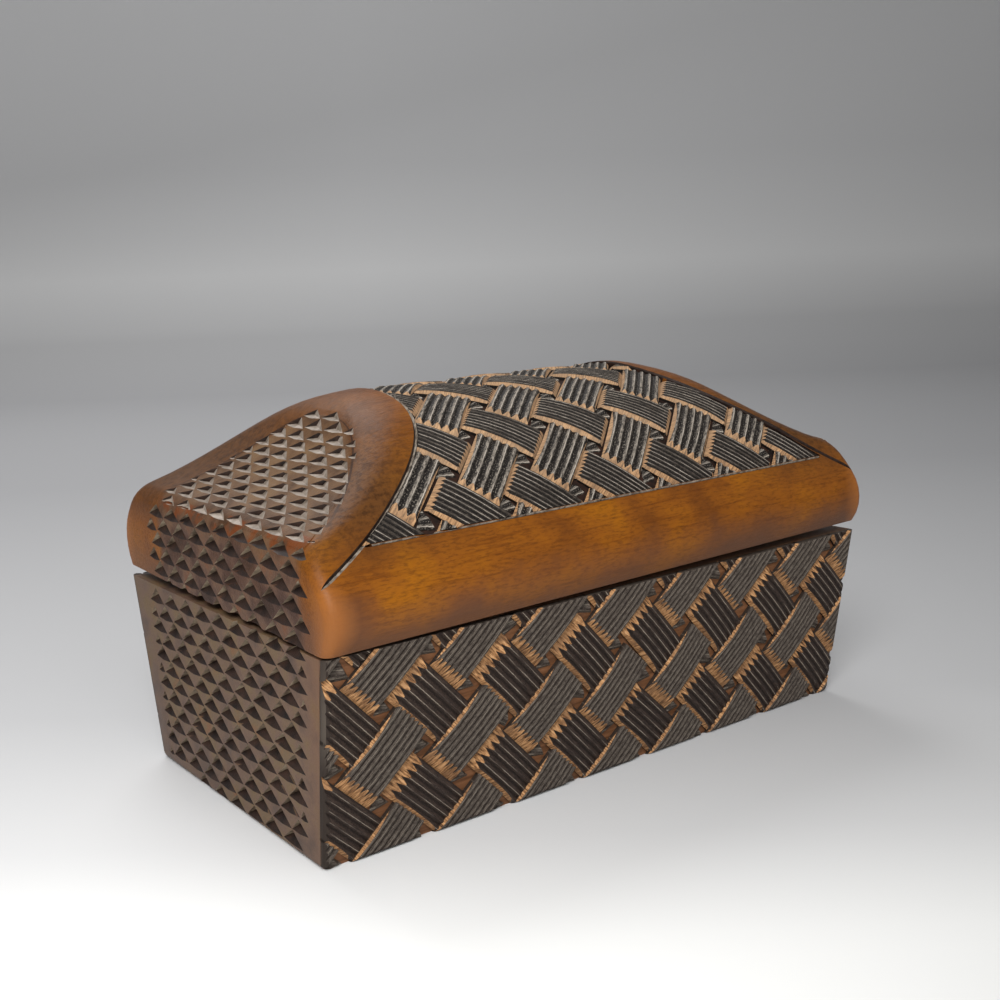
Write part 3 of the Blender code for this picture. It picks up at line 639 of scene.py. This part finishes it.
def shape_strap(name, ridges, length, sag, groove, bevels, skin, fresh):
    """Models one strap, lying along X with its crest at zero: grooves, crown, walls and slanting cuts.

    groove is the half width of a groove as a share of a ridge. Each bevel is an end or side, how deep
    the cut starts below the crest there, and its slope.
    """
    sizes = bpy.context.scene.trinket_carving
    width = sizes.strap_width / MM
    depth = sizes.relief / MM + 0.15
    pitch = width / ridges
    grid = bpy.ops.mesh.primitive_grid_add
    strap = primitive(grid, name, skin, fresh, x_subdivisions=6, y_subdivisions=3 * ridges, size=2 * MM)
    bpy.ops.transform.resize(value=(length / 2, width / 2, 1))
    # Every third row of points is the bottom of a groove
    pick(strap, lambda p: abs((p.y + width / 2) / pitch - round((p.y + width / 2) / pitch)) < 0.05)
    move(0, 0, -sizes.groove_depth / MM)
    mesh = bmesh.from_edit_mesh(strap.data)
    for vertex in mesh.verts:
        row = (vertex.co.y / MM + width / 2) / pitch
        off = row - round(row)
        if abs(off) > 0.1:
            vertex.co.y += (math.copysign(groove, off) - off) * pitch * MM
    bmesh.update_edit_mesh(strap.data)
    # The crown: each pair of cross rows goes down with the square of its distance
    for step in (1, 2, 3):
        reach = step * length / 6
        pick(strap, lambda p: abs(abs(p.x) - reach) < 0.1)
        move(0, 0, -sag * (step / 3) ** 2)
    bpy.ops.mesh.select_all(action="SELECT")
    extrude(-4, -depth)
    turn_outward()
    for side, level, slope in bevels:
        lengthwise, away = side[1] == "x", 1 if side[0] == "+" else -1
        out = Vector((away, 0, 0) if lengthwise else (0, away, 0))
        reach = length / 2 if lengthwise else width / 2
        point = (out * reach + Vector((0, 0, -level))) * MM
        normal = out * math.sin(math.radians(slope)) + Vector((0, 0, math.cos(math.radians(slope))))
        bpy.ops.mesh.select_all(action="SELECT")
        bpy.ops.mesh.bisect(
            plane_co=point, plane_no=normal, use_fill=True, clear_outer=True, threshold=1e-7
        )
        mesh = bmesh.from_edit_mesh(strap.data)
        for face in mesh.faces:
            if all(abs((v.co - point).dot(normal)) < 1e-7 for v in face.verts):
                face.material_index = 1
        bmesh.update_edit_mesh(strap.data)
    turn_outward()
    mesh = bmesh.from_edit_mesh(strap.data)
    layer = mesh.loops.layers.uv.verify()
    for face in mesh.faces:
        # On a long side's cut the fibres run across the strap
        across = face.material_index == 1 and abs(face.normal.y) > abs(face.normal.x)
        for loop in face.loops:
            x, y = loop.vert.co.x / MM, (loop.vert.co.y / MM + width / 2) / pitch
            loop[layer].uv = (y * pitch, x / pitch) if across else (x, y)
    bmesh.update_edit_mesh(strap.data)
    close()
    return strap


def lay_straps(strap, places, angle, chance, stretch=1.0):
    """Copies one strap to its places in the flat layout, each a little different."""
    laid = []
    for number, (x, up) in enumerate(places):
        twin = copy_of(strap, "strap_copy")
        turn = math.radians(angle + chance.gauss(0, 1.1))
        size = Matrix.Diagonal((
            stretch * chance.uniform(0.97, 1.03), stretch * chance.uniform(0.95, 1.02),
            chance.uniform(0.94, 1.02), 1,
        ))
        spot = Vector((x + chance.gauss(0, 0.2), up + chance.gauss(0, 0.2), chance.uniform(-0.12, 0.0))) * MM
        twin.data.transform(Matrix.Translation(spot) @ Matrix.Rotation(turn, 4, "Z") @ size)
        shift = 40.0 * number + chance.uniform(0, 20)
        for point in twin.data.uv_layers[0].data:
            point.uv[0] += shift
        laid.append(twin)
    return laid


def shape_stub(skin):
    """Models the stub left standing in a pit: three rough facets that meet off its middle."""
    cone = bpy.ops.mesh.primitive_cone_add
    stub = primitive(cone, "stub", skin, vertices=3, radius1=2.3 * MM, depth=1.0 * MM)
    pick(stub, lambda p: p.z > 0)
    move(0.75, 0.3, 0)
    bpy.ops.mesh.select_all(action="SELECT")
    move(0, 0, -0.95)
    close()
    layer = stub.data.uv_layers[0] if stub.data.uv_layers else stub.data.uv_layers.new(name="UVMap")
    for loop in stub.data.loops:
        point = stub.data.vertices[loop.vertex_index].co / MM
        layer.data[loop.index].uv = (point.x, point.y / 1.2)
    return stub


def lay_stubs(stub, places, chance):
    """Copies the stub into the pits, each turned and sized a little differently."""
    laid = []
    for x, up in places:
        twin = copy_of(stub, "stub_copy")
        turn = Matrix.Rotation(math.radians(chance.gauss(0, 12)), 4, "Z")
        spread = [chance.uniform(0.85, 1.1), chance.uniform(0.85, 1.1), chance.uniform(0.8, 1.05)]
        size = Matrix.Diagonal((*spread, 1))
        spot = Vector((x - 0.5 + chance.gauss(0, 0.25), up + 0.35 + chance.gauss(0, 0.25), -0.05)) * MM
        twin.data.transform(Matrix.Translation(spot) @ turn @ size)
        laid.append(twin)
    return laid


def lay_weave(shapes, down, up, cell, chance, stretch=1.0):
    """Lays the straps of both directions and a stub in each pit between them."""
    down_strap, up_strap, stub = shapes
    straps = lay_straps(down_strap, down, -45, chance, stretch)
    straps += lay_straps(up_strap, up, 45, chance, stretch)
    pits = [(x + cell / 2, y) for x, y in down] + [(x - cell / 2, y) for x, y in up]
    return straps + lay_stubs(stub, pits, chance)


def extent(obj):
    xs = [v.co.x / MM for v in obj.data.vertices]
    ys = [v.co.y / MM for v in obj.data.vertices]
    return min(xs), max(xs), min(ys), max(ys)


def woven(name, straps, position, border, limit):
    """Puts flat straps on the box as one piece.

    border says of a strap's extent whether it lies outside, and whether it has to be trimmed to limit.
    """
    kept = []
    for strap in straps:
        outside, crosses = border(*extent(strap))
        if outside:
            discard(strap)
            continue
        place(strap, position)
        if crosses:
            cut(strap, limit, "INTERSECT")
        kept.append(strap)
    weave = join(without_empty(kept), name)
    check_whole(weave, 5000)
    return weave


def weave_layout(cell_x, cell_y, first, rows, columns):
    """Crossings of the two directions of straps in a flat layout."""
    down, up = [], []
    for row in rows:
        for column in columns:
            x, y = first[0] + column * cell_x, first[1] + row * cell_y
            down.append((x, y))
            up.append((x + cell_x / 2, y - cell_y / 2))
    return down, up


# The chips


def shape_chip(name, floor, narrow, depth=1.0):
    """Models one chip as the solid that the knife takes out, depth times as deep as the others.

    Its deepest point lies near the middle of its upper left edge, where the cut is steep and narrow.
    """
    sizes = bpy.context.scene.trinket_carving
    half, tall, deep = sizes.chip_width / 2 / MM, sizes.chip_height / MM, depth * sizes.chip_depth / MM
    above = 0.05 * depth
    grow = 1 + above / deep
    cone = bpy.ops.mesh.primitive_cone_add
    chip = primitive(cone, name, floor, narrow, vertices=4, radius1=half * MM, depth=(deep + above) * MM)
    # Turned over, so that its point is down
    bpy.ops.transform.resize(value=(1, 1, -1))
    move(0, 0, above - (deep + above) / 2)
    pick(chip, lambda p: p.y > half / 2)
    move(0, tall - half, 0)
    pick(chip, lambda p: p.y < -half / 2)
    move(0, half - 0.3, 0)
    pick(chip, lambda p: p.z < -deep / 2)
    low_x, low_y = -0.36 * half, 0.50 * tall
    move(low_x, low_y, 0)
    # The top is wider than the chip by as much as it stands above the surface
    pick(chip, lambda p: p.z > 0)
    bpy.ops.transform.resize(value=(grow, grow, 1), center_override=(low_x * MM, low_y * MM, 0))
    turn_outward()
    close()
    # The narrow upper left facets take the second material, which paints a highlight on them on the ends and
    # a shadow on them on the hood
    for face in chip.data.polygons:
        if face.center.y > 0.35 * tall * MM and face.center.x < 0 and len(face.vertices) == 3:
            face.material_index = 1
    return chip


def lay_chips(chip, spots, chance):
    """Copies the chip to its spots. A spot is a point, the way across, the way up and the way out."""
    laid = []
    for point, across, up, out, size in spots:
        twin = copy_of(chip, "chip_copy")
        turn = Matrix.Rotation(chance.gauss(0, math.radians(1.2)), 4, "Z")
        scale = Matrix.Diagonal((
            size[0] * chance.uniform(0.98, 1.02), size[1] * chance.uniform(0.97, 1.03),
            size[2] * chance.uniform(0.95, 1.1), 1,
        ))
        shift = Vector((chance.uniform(-0.1, 0.1), chance.uniform(-0.08, 0.08), 0)) * MM
        basis = Matrix((across, up, out)).transposed().to_4x4()
        twin.data.transform(Matrix.Translation(point) @ basis @ Matrix.Translation(shift) @ turn @ scale)
        laid.append(twin)
    return join(laid, "chips")


def fitted(y, low, high, half):
    """A chip at y if it is between low and high, else what the edge of the field leaves of it."""
    if low < y < high:
        return y, 1.0
    width = 2 * half - max(low - y, y - high)
    if width < 0.6 * half:
        return None
    return (low - half + width / 2 if y < low else high + half - width / 2), width / (2 * half)


def chip_rows(rows, start, pitch, period):
    """Rows of places, every second one moved by half a period: row, place along it, and how far up."""
    for row in range(rows):
        for column in range(-6, 7):
            y = CHIP_MIDDLE + period * (column + 0.5 * (row % 2))
            yield row, y, start + pitch * row - CHIP_SINK * (y - CHIP_MIDDLE)


def shrunk(part):
    """How low and shallow a chip is of which only a part of its width is left."""
    return 0.4 + 0.6 * part


def end_chip_spots(side):
    """Chip places on one end of the body. side is -1 for the left end and 1 for the right."""
    spots = []
    lean = math.atan(END_FLARE / BODY_HEIGHT)
    out = Vector((side * math.cos(lean), 0, -math.sin(lean)))
    up = Vector((side * math.sin(lean), 0, math.cos(lean)))
    across = up.cross(out)
    for _, y, height in chip_rows(14, 0.6, CHIP_ROW, CHIP_PERIOD):
        share = height / BODY_HEIGHT
        wide = RIM_WIDTH / 2 - SIDE_FLARE * (1 - share)
        fit = fitted(y, 8.35 - wide, wide - 7.35 - 4 * share, 3.1)
        if fit and 0 < height < 33.8:
            y, size = fit
            x = side * (RIM_LENGTH / 2 - END_FLARE * (1 - share))
            scale = (size, shrunk(size), shrunk(size))
            spots.append((Vector((x, y, height)) * MM, across, up, out, scale))
    return spots


def lid_chip_spots(side):
    """Chip places on one end of the lid: two groups, for the upright wall and the hood."""
    wall, hood = [], []

    def spot(y, arc):
        x, h = end_outline(max(arc, 0.0))[:2]
        return settled(side * x, y, h + min(arc, 0.0)), x

    for group, start, pitch, rows, period, size in (
        (wall, -0.9, CHIP_ROW, 6, CHIP_PERIOD, (1.0, 1.0)), (hood, 15.1, 2.25, 13, 6.3, (0.95, 0.87)),
    ):
        for row, y, here in chip_rows(rows, start, pitch, period):
            front, back = horseshoe(spot(y, here)[1]) if group is hood else (-31.2, 24.6)
            fit = fitted(y, front + 1.25, back - 1.25, 3.0) if back - front > 5 else None
            if not fit:
                continue
            y, part = fit
            point = spot(y, here)[0]
            # The row below the shoulder is lower, to keep clear of the hood's first row
            tall = size[1] * (0.9 if group is wall and row == 5 else 1.0) * shrunk(part)
            scale = (size[0] * part, tall, shrunk(part))
            # The directions follow the settled lid
            along = spot(y + 0.5, here)[0] - spot(y - 0.5, here)[0]
            rise = spot(y, here + 0.1)[0] - spot(y, here - 0.1)[0]
            across = -along.normalized() if side < 0 else along.normalized()
            out = across.cross(rise).normalized()
            if group is hood:
                point = point + out * HOOD_SKIN * MM
            group.append((point, across, out.cross(across), out, scale))
    return wall, hood


def hood_skin(side, material):
    """The smooth field of the hood, laid over the plain cuts of the solid before it is carved."""

    def position(u, v, out):
        x, h, nx, nh = end_outline(HOOD_FIELD_FOOT + (HOOD_FIELD_TOP - HOOD_FIELD_FOOT) * (v + 1) / 2)
        front, back = horseshoe(x)
        y = (front + back) / 2 + u * (back - front) / 2
        return settled(side * (x + nx * out), y, h + nh * out)

    return flat_shell("hood_skin", 36, 8, -1.0, HOOD_SKIN, position, material)


def horseshoe(x):
    """Front and back edge of the carved field of the hood, at this half length."""
    if x < HORSESHOE_APEX:
        return 0.0, 0.0
    spread = (min(x - HORSESHOE_APEX, HORSESHOE_RUN) / HORSESHOE_RUN) ** HORSESHOE_POWER
    return HORSESHOE_Y - 28.7 * spread, HORSESHOE_Y + 22.5 * spread


# Operators


class TRINKET_OT_body(Operator):
    """Carves the ends of the body and sinks its front and back for the weave"""

    bl_idname = "trinket.carve_body"
    bl_label = "Carve Body"

    def execute(self, context):
        look, sizes = context.scene.trinket_finish, context.scene.trinket_carving
        chance = random.Random(sizes.seed)
        body = node_copy("box_body", "carved_body")
        body.data.materials.append(rubbed_end_wood(look))
        # The near-black ground between the straps is stain and painted shade of the recess
        ground = plain_wood("gouged_ground_stain_and_shade", "#120b08", "#301c13", (0.5, 0.5, 0.5), 0.7)
        # The dark chip floors are stain and painted shade; the pale narrow upper left facet of each chip is
        # a painted highlight
        chips = chip_floor("stain_and_shade_chip_floor", "#170f0d", "#35241c", 0.05)
        highlit_chip_facets = chip_floor("highlit_chip_facet", "#4a3a2e", "#a3927c", 0.04)
        inside = plain_wood("plain_hollow_wood", "#54351f", "#7a5236", (0.05, 1.1, 1.1), 0.6)
        chip = shape_chip("chip_cutter", chips, highlit_chip_facets)
        tool = join([lay_chips(chip, end_chip_spots(side), chance) for side in (-1, 1)], "chips")
        cut(body, tool, crossing=True)
        discard(tool)
        discard(chip)
        relief = sizes.relief / MM
        for position in (on_front, on_back):
            slab = flat_shell(
                "sinking", 1, 1, -relief, 3.0,
                lambda u, v, out: position(u * 64, FACE_HEIGHT * (0.5 + v * 0.7), out), ground,
            )
            cut(body, slab)
            discard(slab)
        check_whole(body, 2500)
        body.data.materials.append(inside)
        last = len(body.data.materials) - 1
        for face in body.data.polygons:
            c = face.center / MM
            if abs(c.x) < 56 and abs(c.y) < 32.6 and 2 < c.z < 34.7:
                face.material_index = last
        finish_shading(body)
        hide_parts("box_body")
        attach(body, "body")
        return {"FINISHED"}


def body_block(material):
    """The outside of the body as a plain flared block, to trim the straps at its edges."""
    block = primitive(bpy.ops.mesh.primitive_cube_add, "body_block", material, size=2 * MM)
    close()

    def flared(x, y, z):
        inward = 0.0 if z > 0 else 1.0
        return Vector((
            x * (RIM_LENGTH / 2 - END_FLARE * inward), y * (RIM_WIDTH / 2 - SIDE_FLARE * inward),
            BODY_HEIGHT * (1 - inward),
        )) * MM

    place(block, flared)

    def upright(edge):
        low, high = sorted(v.co.z / MM for v in edge.verts)
        return high - low > 30

    def at_foot(edge):
        return max(v.co.z / MM for v in edge.verts) < 0.01

    edit(block)
    for test, radius in ((upright, 1.5), (at_foot, 1.2)):
        pick(block, test, "EDGE")
        bpy.ops.mesh.bevel(offset=radius * MM, segments=4)
    close()
    outward(block)
    return block


class TRINKET_OT_body_weave(Operator):
    """Lays the basket weave on the front and back of the body"""

    bl_idname = "trinket.weave_body"
    bl_label = "Weave Body"

    def execute(self, context):
        look, sizes = context.scene.trinket_finish, context.scene.trinket_carving
        cell = sizes.cell / MM
        # The crest and line colours are rubbed stain and painted highlight
        skin = strap_wood("rubbed_body_strap", look.strap, look.strap_crest, "#857b6e", 0.85, 0.43, 0.22)
        dark_skin = strap_wood("dark_body_strap", "#211814", "#483a32", "#9c9182", 0.8, 0.40, 0.0)
        fresh = cut_wood(look)
        whole = body_block(skin)
        down_cuts, up_cuts = [("-x", 1.2, 19), ("-y", 0.8, 40)], [("-x", 1.15, 22), ("+y", 0.6, 60)]
        down_strap = shape_strap("down_strap", 6, 15.3, 0.5, 0.42, down_cuts, dark_skin, fresh)
        up_strap = shape_strap("up_strap", 7, 15.3, 0.35, 0.32, up_cuts, skin, fresh)
        shapes = down_strap, up_strap, shape_stub(skin)

        def border(x0, x1, y0, y1):
            outside = x1 < -59.5 or x0 > 59.5 or y1 < 0.3 or y0 > FACE_HEIGHT - 0.3
            return outside, x0 < -58 or x1 > 58 or y0 < 1 or y1 > FACE_HEIGHT - 1

        for name, position, seed in (("front_weave", on_front, 3), ("back_weave", on_back, 8)):
            chance = random.Random(sizes.seed + seed)
            # The cells are 16.1 mm high, and one crossing lies 57 mm left of the middle, 8.1 mm up
            down, up = weave_layout(cell, 16.1, (-57.0, 8.1), range(-1, 3), range(-1, 9))
            straps = lay_weave(shapes, down, up, cell, chance)
            weave = woven(name, straps, position, border, whole)
            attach(weave, "body")
        for scrap in (*shapes, whole):
            discard(scrap)
        return {"FINISHED"}


class TRINKET_OT_lid(Operator):
    """Carves the lid: chips on its ends, the sunk panel and the border groove"""

    bl_idname = "trinket.carve_lid"
    bl_label = "Carve Lid"

    def execute(self, context):
        look, sizes = context.scene.trinket_finish, context.scene.trinket_carving
        chance = random.Random(sizes.seed + 1)
        lid = node_copy("lid", "carved_lid")
        lid.data.materials.append(waxed_fruitwood(look))
        # The dark groove wall is a painted shadow
        groove = plain_wood("scored_groove_light", "#4a3f36", "#a3988a", (0.8, 0.8, 0.8), 0.5)
        shadow_groove = plain_wood("scored_groove_shadow", "#140c08", "#2e2019", (1.0, 1.0, 1.0), 0.6)
        # The hood chips' pale floors are a painted sheen of reflected light, and their narrow facets take
        # the dark floor as a painted shadow; the wall chips keep the painted highlight on their narrow
        # facets
        chips = bpy.data.materials["stain_and_shade_chip_floor"]
        painted_sheen = chip_floor("painted_sheen_chip_floor", "#6e6154", "#a3968a", 0.04)
        wall_chip = shape_chip("wall_chip", chips, bpy.data.materials["highlit_chip_facet"])
        hood_chip = shape_chip("hood_chip", painted_sheen, chips, 0.56)
        grooves, groups = [], []
        for side in (-1, 1):
            skin = hood_skin(side, lid.data.materials[0])
            cut(lid, skin, "UNION")
            discard(skin)
            grooves += [border_groove(side, groove, shadow_groove), edge_groove(side, groove, shadow_groove)]
            wall, hood = lid_chip_spots(side)
            groups += [lay_chips(wall_chip, wall, chance), lay_chips(hood_chip, hood, chance)]
        grooves, groups = join(grooves, "grooves"), join(groups, "chips")
        # The panel is sunk before the grooves at its edges and the chips are cut
        ground = bpy.data.materials["gouged_ground_stain_and_shade"]
        panel = panel_shell("panel_sinking", -sizes.relief / MM, 1.5, -0.15, ground)
        cut(lid, panel)
        cut(lid, grooves, crossing=True)
        cut(lid, groups, crossing=True)
        check_whole(lid, 5000)
        for scrap in (grooves, groups, panel, wall_chip, hood_chip):
            discard(scrap)
        lid.data.materials.append(bpy.data.materials["plain_hollow_wood"])
        last = len(lid.data.materials) - 1
        for face in lid.data.polygons:
            c = face.center / MM
            h = c.z - settled(c.x, c.y, 0).z / MM
            if h < 27 and face.material_index == 0 and inside_lid(abs(c.x), abs(c.y), h):
                face.material_index = last
        finish_shading(lid)
        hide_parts("lid")
        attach(lid, "lid")
        return {"FINISHED"}


def arc_at(outline, end, h):
    """How far along an outline, which ends at end, it reaches the height h."""
    low, high = 0.0, end
    for _ in range(30):
        middle = (low + high) / 2
        if outline(middle)[1] < h:
            low = middle
        else:
            high = middle
    return low


def inside_lid(x, y, h):
    """Whether a point of the lid's surface belongs to its hollow."""
    wide = abs(side_outline(arc_at(side_outline, TOP_ARC, h))[0])
    long = end_outline(arc_at(end_outline, 70.0, h))[0]
    return y < wide - 3.4 and x < long - 3.4


def panel_shell(name, low, high, inset, material):
    """The space of the woven panel: over the ridge from front to back, between the two borders."""

    def position(u, v, out):
        arc = TOP_ARC + v * (TOP_ARC - PANEL_START - inset)
        x = u * (panel_edge(side_outline(arc)[0], u < 0) - inset)
        arc += (-1 if v > 0 else 1) * abs(v) ** 8 * -0.5 * x / 50
        return on_lid(x, arc, out)

    return flat_shell(name, 60, 24, low, high, position, material)


def scored_groove(position, light, dark):
    """A tool for a V groove laid out on a strip: u across it, v along it, one wall lighter and the other a
    painted shadow.
    """
    grid = bpy.ops.mesh.primitive_grid_add
    groove = primitive(grid, "groove", light, dark, x_subdivisions=2, y_subdivisions=120, size=2 * MM)
    pick(groove, lambda p: abs(p.x) < 0.01)
    move(0, 0, -0.75)
    bpy.ops.mesh.select_all(action="SELECT")
    move(0, 0, 0.15)
    extrude(2, 0.8)
    close()
    for face in groove.data.polygons:
        if face.center.x > 0:
            face.material_index = 1
    place(groove, position)
    outward(groove)
    return groove


def border_groove(side, light, dark):
    """The V groove that follows the border from the front corner over the ridge to the back corner."""

    def edge(arc):
        return panel_edge(side_outline(arc)[0], side < 0)

    def position(u, v, out):
        arc = TOP_ARC + v * (TOP_ARC - 8.0)
        slope = math.atan((edge(arc + 0.1) - edge(arc - 0.1)) / 0.2)
        across = 0.4 + 0.5 * u
        return on_lid(
            side * (edge(arc) + across * math.cos(slope)), arc - across * math.sin(slope), out
        )

    return scored_groove(position, light, dark)


def edge_groove(side, light, dark):
    """The fine groove along the straight lower edge of the panel. side is -1 for the front."""

    def position(u, v, out):
        x = 0.9 + 51.1 * v
        arc = 15.6 - 0.01 * x - 0.25 * u
        return on_lid(x, arc if side < 0 else 2 * TOP_ARC - arc, 0.5 * out)

    return scored_groove(position, light, dark)


class TRINKET_OT_lid_weave(Operator):
    """Lays the basket weave in the sunk panel of the lid"""

    bl_idname = "trinket.weave_lid"
    bl_label = "Weave Lid"

    def execute(self, context):
        sizes = context.scene.trinket_carving
        cell = sizes.lid_cell / MM
        # The crest and line colours are rubbed stain and painted highlight
        skin = strap_wood("rubbed_lid_strap", "#140f0c", "#9c9286", "#c4baad", 1.0, 0.25, 0.03)
        dark_skin = strap_wood("dark_lid_strap", "#15100d", "#574e45", "#c0b6a8", 0.85, 0.30, 0.0)
        fresh = bpy.data.materials["fresh_knife_cut_wood"]
        limit = panel_shell("panel_limit", -1.8, 1.5, 0.0, skin)
        down_cuts = [("-x", 1.2, 38), ("+x", 1.2, 42), ("-y", 0.75, 45)]
        up_cuts = [("-x", 1.15, 26), ("+y", 0.85, 54), ("-y", 0.7, 52)]
        down_strap = shape_strap("lid_down_strap", 8, 14.9, 0.45, 0.36, down_cuts, dark_skin, fresh)
        up_strap = shape_strap("lid_up_strap", 5, 14.9, 0.4, 0.42, up_cuts, skin, fresh)
        chance = random.Random(sizes.seed + 21)
        # The cells are 15.4 mm high, and one crossing lies 30 mm left of the middle, 18.3 mm up
        down, up = weave_layout(cell, 15.4, (-30.0, 18.3), range(-1, 7), range(-3, 7))
        # On the lid the other direction is offset upwards
        up = [(x, y + 15.4) for x, y in up]
        shapes = down_strap, up_strap, shape_stub(skin)
        straps = lay_weave(shapes, down, up, cell, chance, 0.965)

        def border(x0, x1, y0, y1):
            low, high = PANEL_START, 2 * TOP_ARC - PANEL_START
            ends = [side_outline(min(max(y, low), high))[0] for y in (y0, y1)]
            edges = [panel_edge(y, x0 + x1 < 0) for y in ends]
            reach, narrow = max(edges), PANEL_WAIST if y0 < TOP_ARC < y1 else min(edges)
            outside = x1 < -reach or x0 > reach or y1 < low or y0 > high
            across = x0 < -narrow + 0.5 or x1 > narrow - 0.5
            return outside, across or y0 < low + 0.8 or y1 > high - 0.8

        weave = woven("lid_weave", straps, on_lid, border, limit)
        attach(weave, "lid")
        for scrap in (*shapes, limit):
            discard(scrap)
        return {"FINISHED"}


class TRINKET_OT_hinges(Operator):
    """Gives the hinges, their screws and their pins their metals"""

    bl_idname = "trinket.finish_hinges"
    bl_label = "Finish Hinges"

    def execute(self, context):
        look = context.scene.trinket_finish
        brass = worn_metal("aged_brushed_brass", look.brass, "#4a3a22", 0.32, 0.55)
        steel = worn_metal("dull_drawn_steel", look.steel, "#4f4a45", 0.38, 0.6)
        for name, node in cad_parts.items():
            if name in ("box_body", "lid"):
                continue
            metal = steel if name.endswith("pin") else brass
            for slot in node.material_slots:
                slot.material = metal
        return {"FINISHED"}


class TRINKET_OT_stage(Operator):
    """Adds the table, the backdrop, the lamps and the camera"""

    bl_idname = "trinket.set_stage"
    bl_label = "Set Stage"

    def execute(self, context):
        scene = context.scene
        material, add = new_material("matt_paper_sweep")
        mm = millimetres(add)
        # Distance behind the box along the view
        far = add("VectorMath", mm, (math.sin(YAW), math.cos(YAW), 0.0), operation="DOT_PRODUCT")
        # Painted light: the tones along the view copy a light pool, brightest just in front of the box,
        # greyer behind it and lighter again up the sweep
        stops = [
            (0.010, "#f6f6f4"), (0.030, "#dcdcdc"), (0.070, "#c6c6c7"),
            (0.250, "#b1b1b3"), (0.500, "#b1b1b3"), (0.640, "#c4c4c5"),
            (0.740, "#eaeaea"), (0.860, "#e5e5e6"), (1.000, "#f4f4f5"),
        ]
        tone = add("ValToRGB", add("MapRange", far, -100.0, 1500.0), stops=stops)
        # Painted shade: the paper is darker on the right, seen from the front, as the light falls off away
        # from the key lamp
        aside = add("VectorMath", mm, (math.cos(YAW), -math.sin(YAW), 0.0), operation="DOT_PRODUCT")
        share = add("Math", aside, add("Math", far, 240.0, **PLUS), operation="DIVIDE")
        painted_side_shade = add("MapRange", share, -0.1, 0.4, 1.0, 0.72)
        tone = add("VectorMath", tone, painted_side_shade, operation="SCALE")
        # Paper fibres, about 2 mm
        pulp = add("TexNoise", mm, 0.4, Detail=3.0)
        surface(add, tone, 0.9, pulp, 0.02)
        grid = bpy.ops.mesh.primitive_grid_add
        table = primitive(grid, "paper_sweep", material, x_subdivisions=8, y_subdivisions=96, size=2 * MM)
        close()

        def sweep(u, v, out):
            """Flat under the box, then round and up behind it, across the view."""
            run, bend = 5500 * (v + 0.3) - 700, 900.0
            turn = min(max(run / bend, 0.0), math.pi / 2)
            ahead = 700 + (run if run < 0 else bend * math.sin(turn))
            height = 0.0 if run < 0 else bend * (1 - math.cos(turn)) + max(run - bend * math.pi / 2, 0.0)
            across = 4500 * u
            return Vector((
                math.cos(YAW) * across + math.sin(YAW) * ahead,
                -math.sin(YAW) * across + math.cos(YAW) * ahead, height,
            )) * MM

        place(table, sweep)
        bpy.ops.object.shade_smooth()

        world = bpy.data.worlds.new("studio")
        world.use_nodes = True
        scene.world = world
        background = world.node_tree.nodes["Background"]
        background.inputs[0].default_value = (0.83, 0.83, 0.83, 1.0)
        background.inputs[1].default_value = 0.38

        for name, place_at, aim, power, size in (
            ("key", (-0.26, -0.28, 0.34), (-0.02, 0, 0.03), 2.1, 0.22),
            ("fill", (-0.1, -0.8, 0.45), (0, 0, 0.03), 1.8, 0.6),
            ("back", (0.1, 0.6, 0.8), (0, 0, 0.04), 3.6, 0.6),
        ):
            lamp = bpy.data.lights.new(name, "AREA")
            lamp.energy = power
            lamp.shape = "DISK"
            lamp.size = size
            holder = bpy.data.objects.new(name, lamp)
            holder.location = place_at
            holder.rotation_euler = (Vector(aim) - Vector(place_at)).to_track_quat("-Z", "Y").to_euler()
            scene.collection.objects.link(holder)

        level = math.cos(PITCH)
        ahead = Vector((math.sin(YAW) * level, math.cos(YAW) * level, -math.sin(PITCH)))
        right = Vector((math.cos(YAW), -math.sin(YAW), 0))
        above = right.cross(ahead)
        side = math.cos(ROLL) * right + math.sin(ROLL) * above
        top = -math.sin(ROLL) * right + math.cos(ROLL) * above
        data = bpy.data.cameras.new("camera")
        data.lens = 45.0
        data.sensor_width = 36.0
        data.sensor_fit = "HORIZONTAL"
        data.clip_start = 0.005
        camera = bpy.data.objects.new("camera", data)
        directions = Matrix((side, top, -ahead)).transposed().to_4x4()
        camera.matrix_world = Matrix.Translation(CAMERA_PLACE) @ directions
        scene.collection.objects.link(camera)
        scene.camera = camera
        scene.view_settings.view_transform = "Standard"
        return {"FINISHED"}


class TRINKET_PT_panel(Panel):
    bl_label = "Trinket Box"
    bl_idname = "TRINKET_PT_panel"
    bl_space_type = "VIEW_3D"
    bl_region_type = "UI"
    bl_category = "Trinket Box"

    def draw(self, context):
        for group in (context.scene.trinket_carving, context.scene.trinket_finish):
            box = self.layout.box()
            for name in group.__annotations__:
                box.prop(group, name)
        for operator in OPERATORS:
            self.layout.operator(operator.bl_idname)


OPERATORS = (
    TRINKET_OT_body,
    TRINKET_OT_body_weave,
    TRINKET_OT_lid,
    TRINKET_OT_lid_weave,
    TRINKET_OT_hinges,
    TRINKET_OT_stage,
)
CLASSES = (TRINKET_PG_carving, TRINKET_PG_finish, *OPERATORS, TRINKET_PT_panel)


def register():
    for item in CLASSES:
        bpy.utils.register_class(item)
    bpy.types.Scene.trinket_carving = PointerProperty(type=TRINKET_PG_carving)
    bpy.types.Scene.trinket_finish = PointerProperty(type=TRINKET_PG_finish)


def unregister():
    del bpy.types.Scene.trinket_finish
    del bpy.types.Scene.trinket_carving
    for item in reversed(CLASSES):
        bpy.utils.unregister_class(item)


def main():
    register()
    bpy.ops.trinket.carve_body()
    bpy.ops.trinket.weave_body()
    bpy.ops.trinket.carve_lid()
    bpy.ops.trinket.weave_lid()
    bpy.ops.trinket.finish_hinges()
    bpy.ops.trinket.set_stage()


if __name__ == "__main__":
    main()
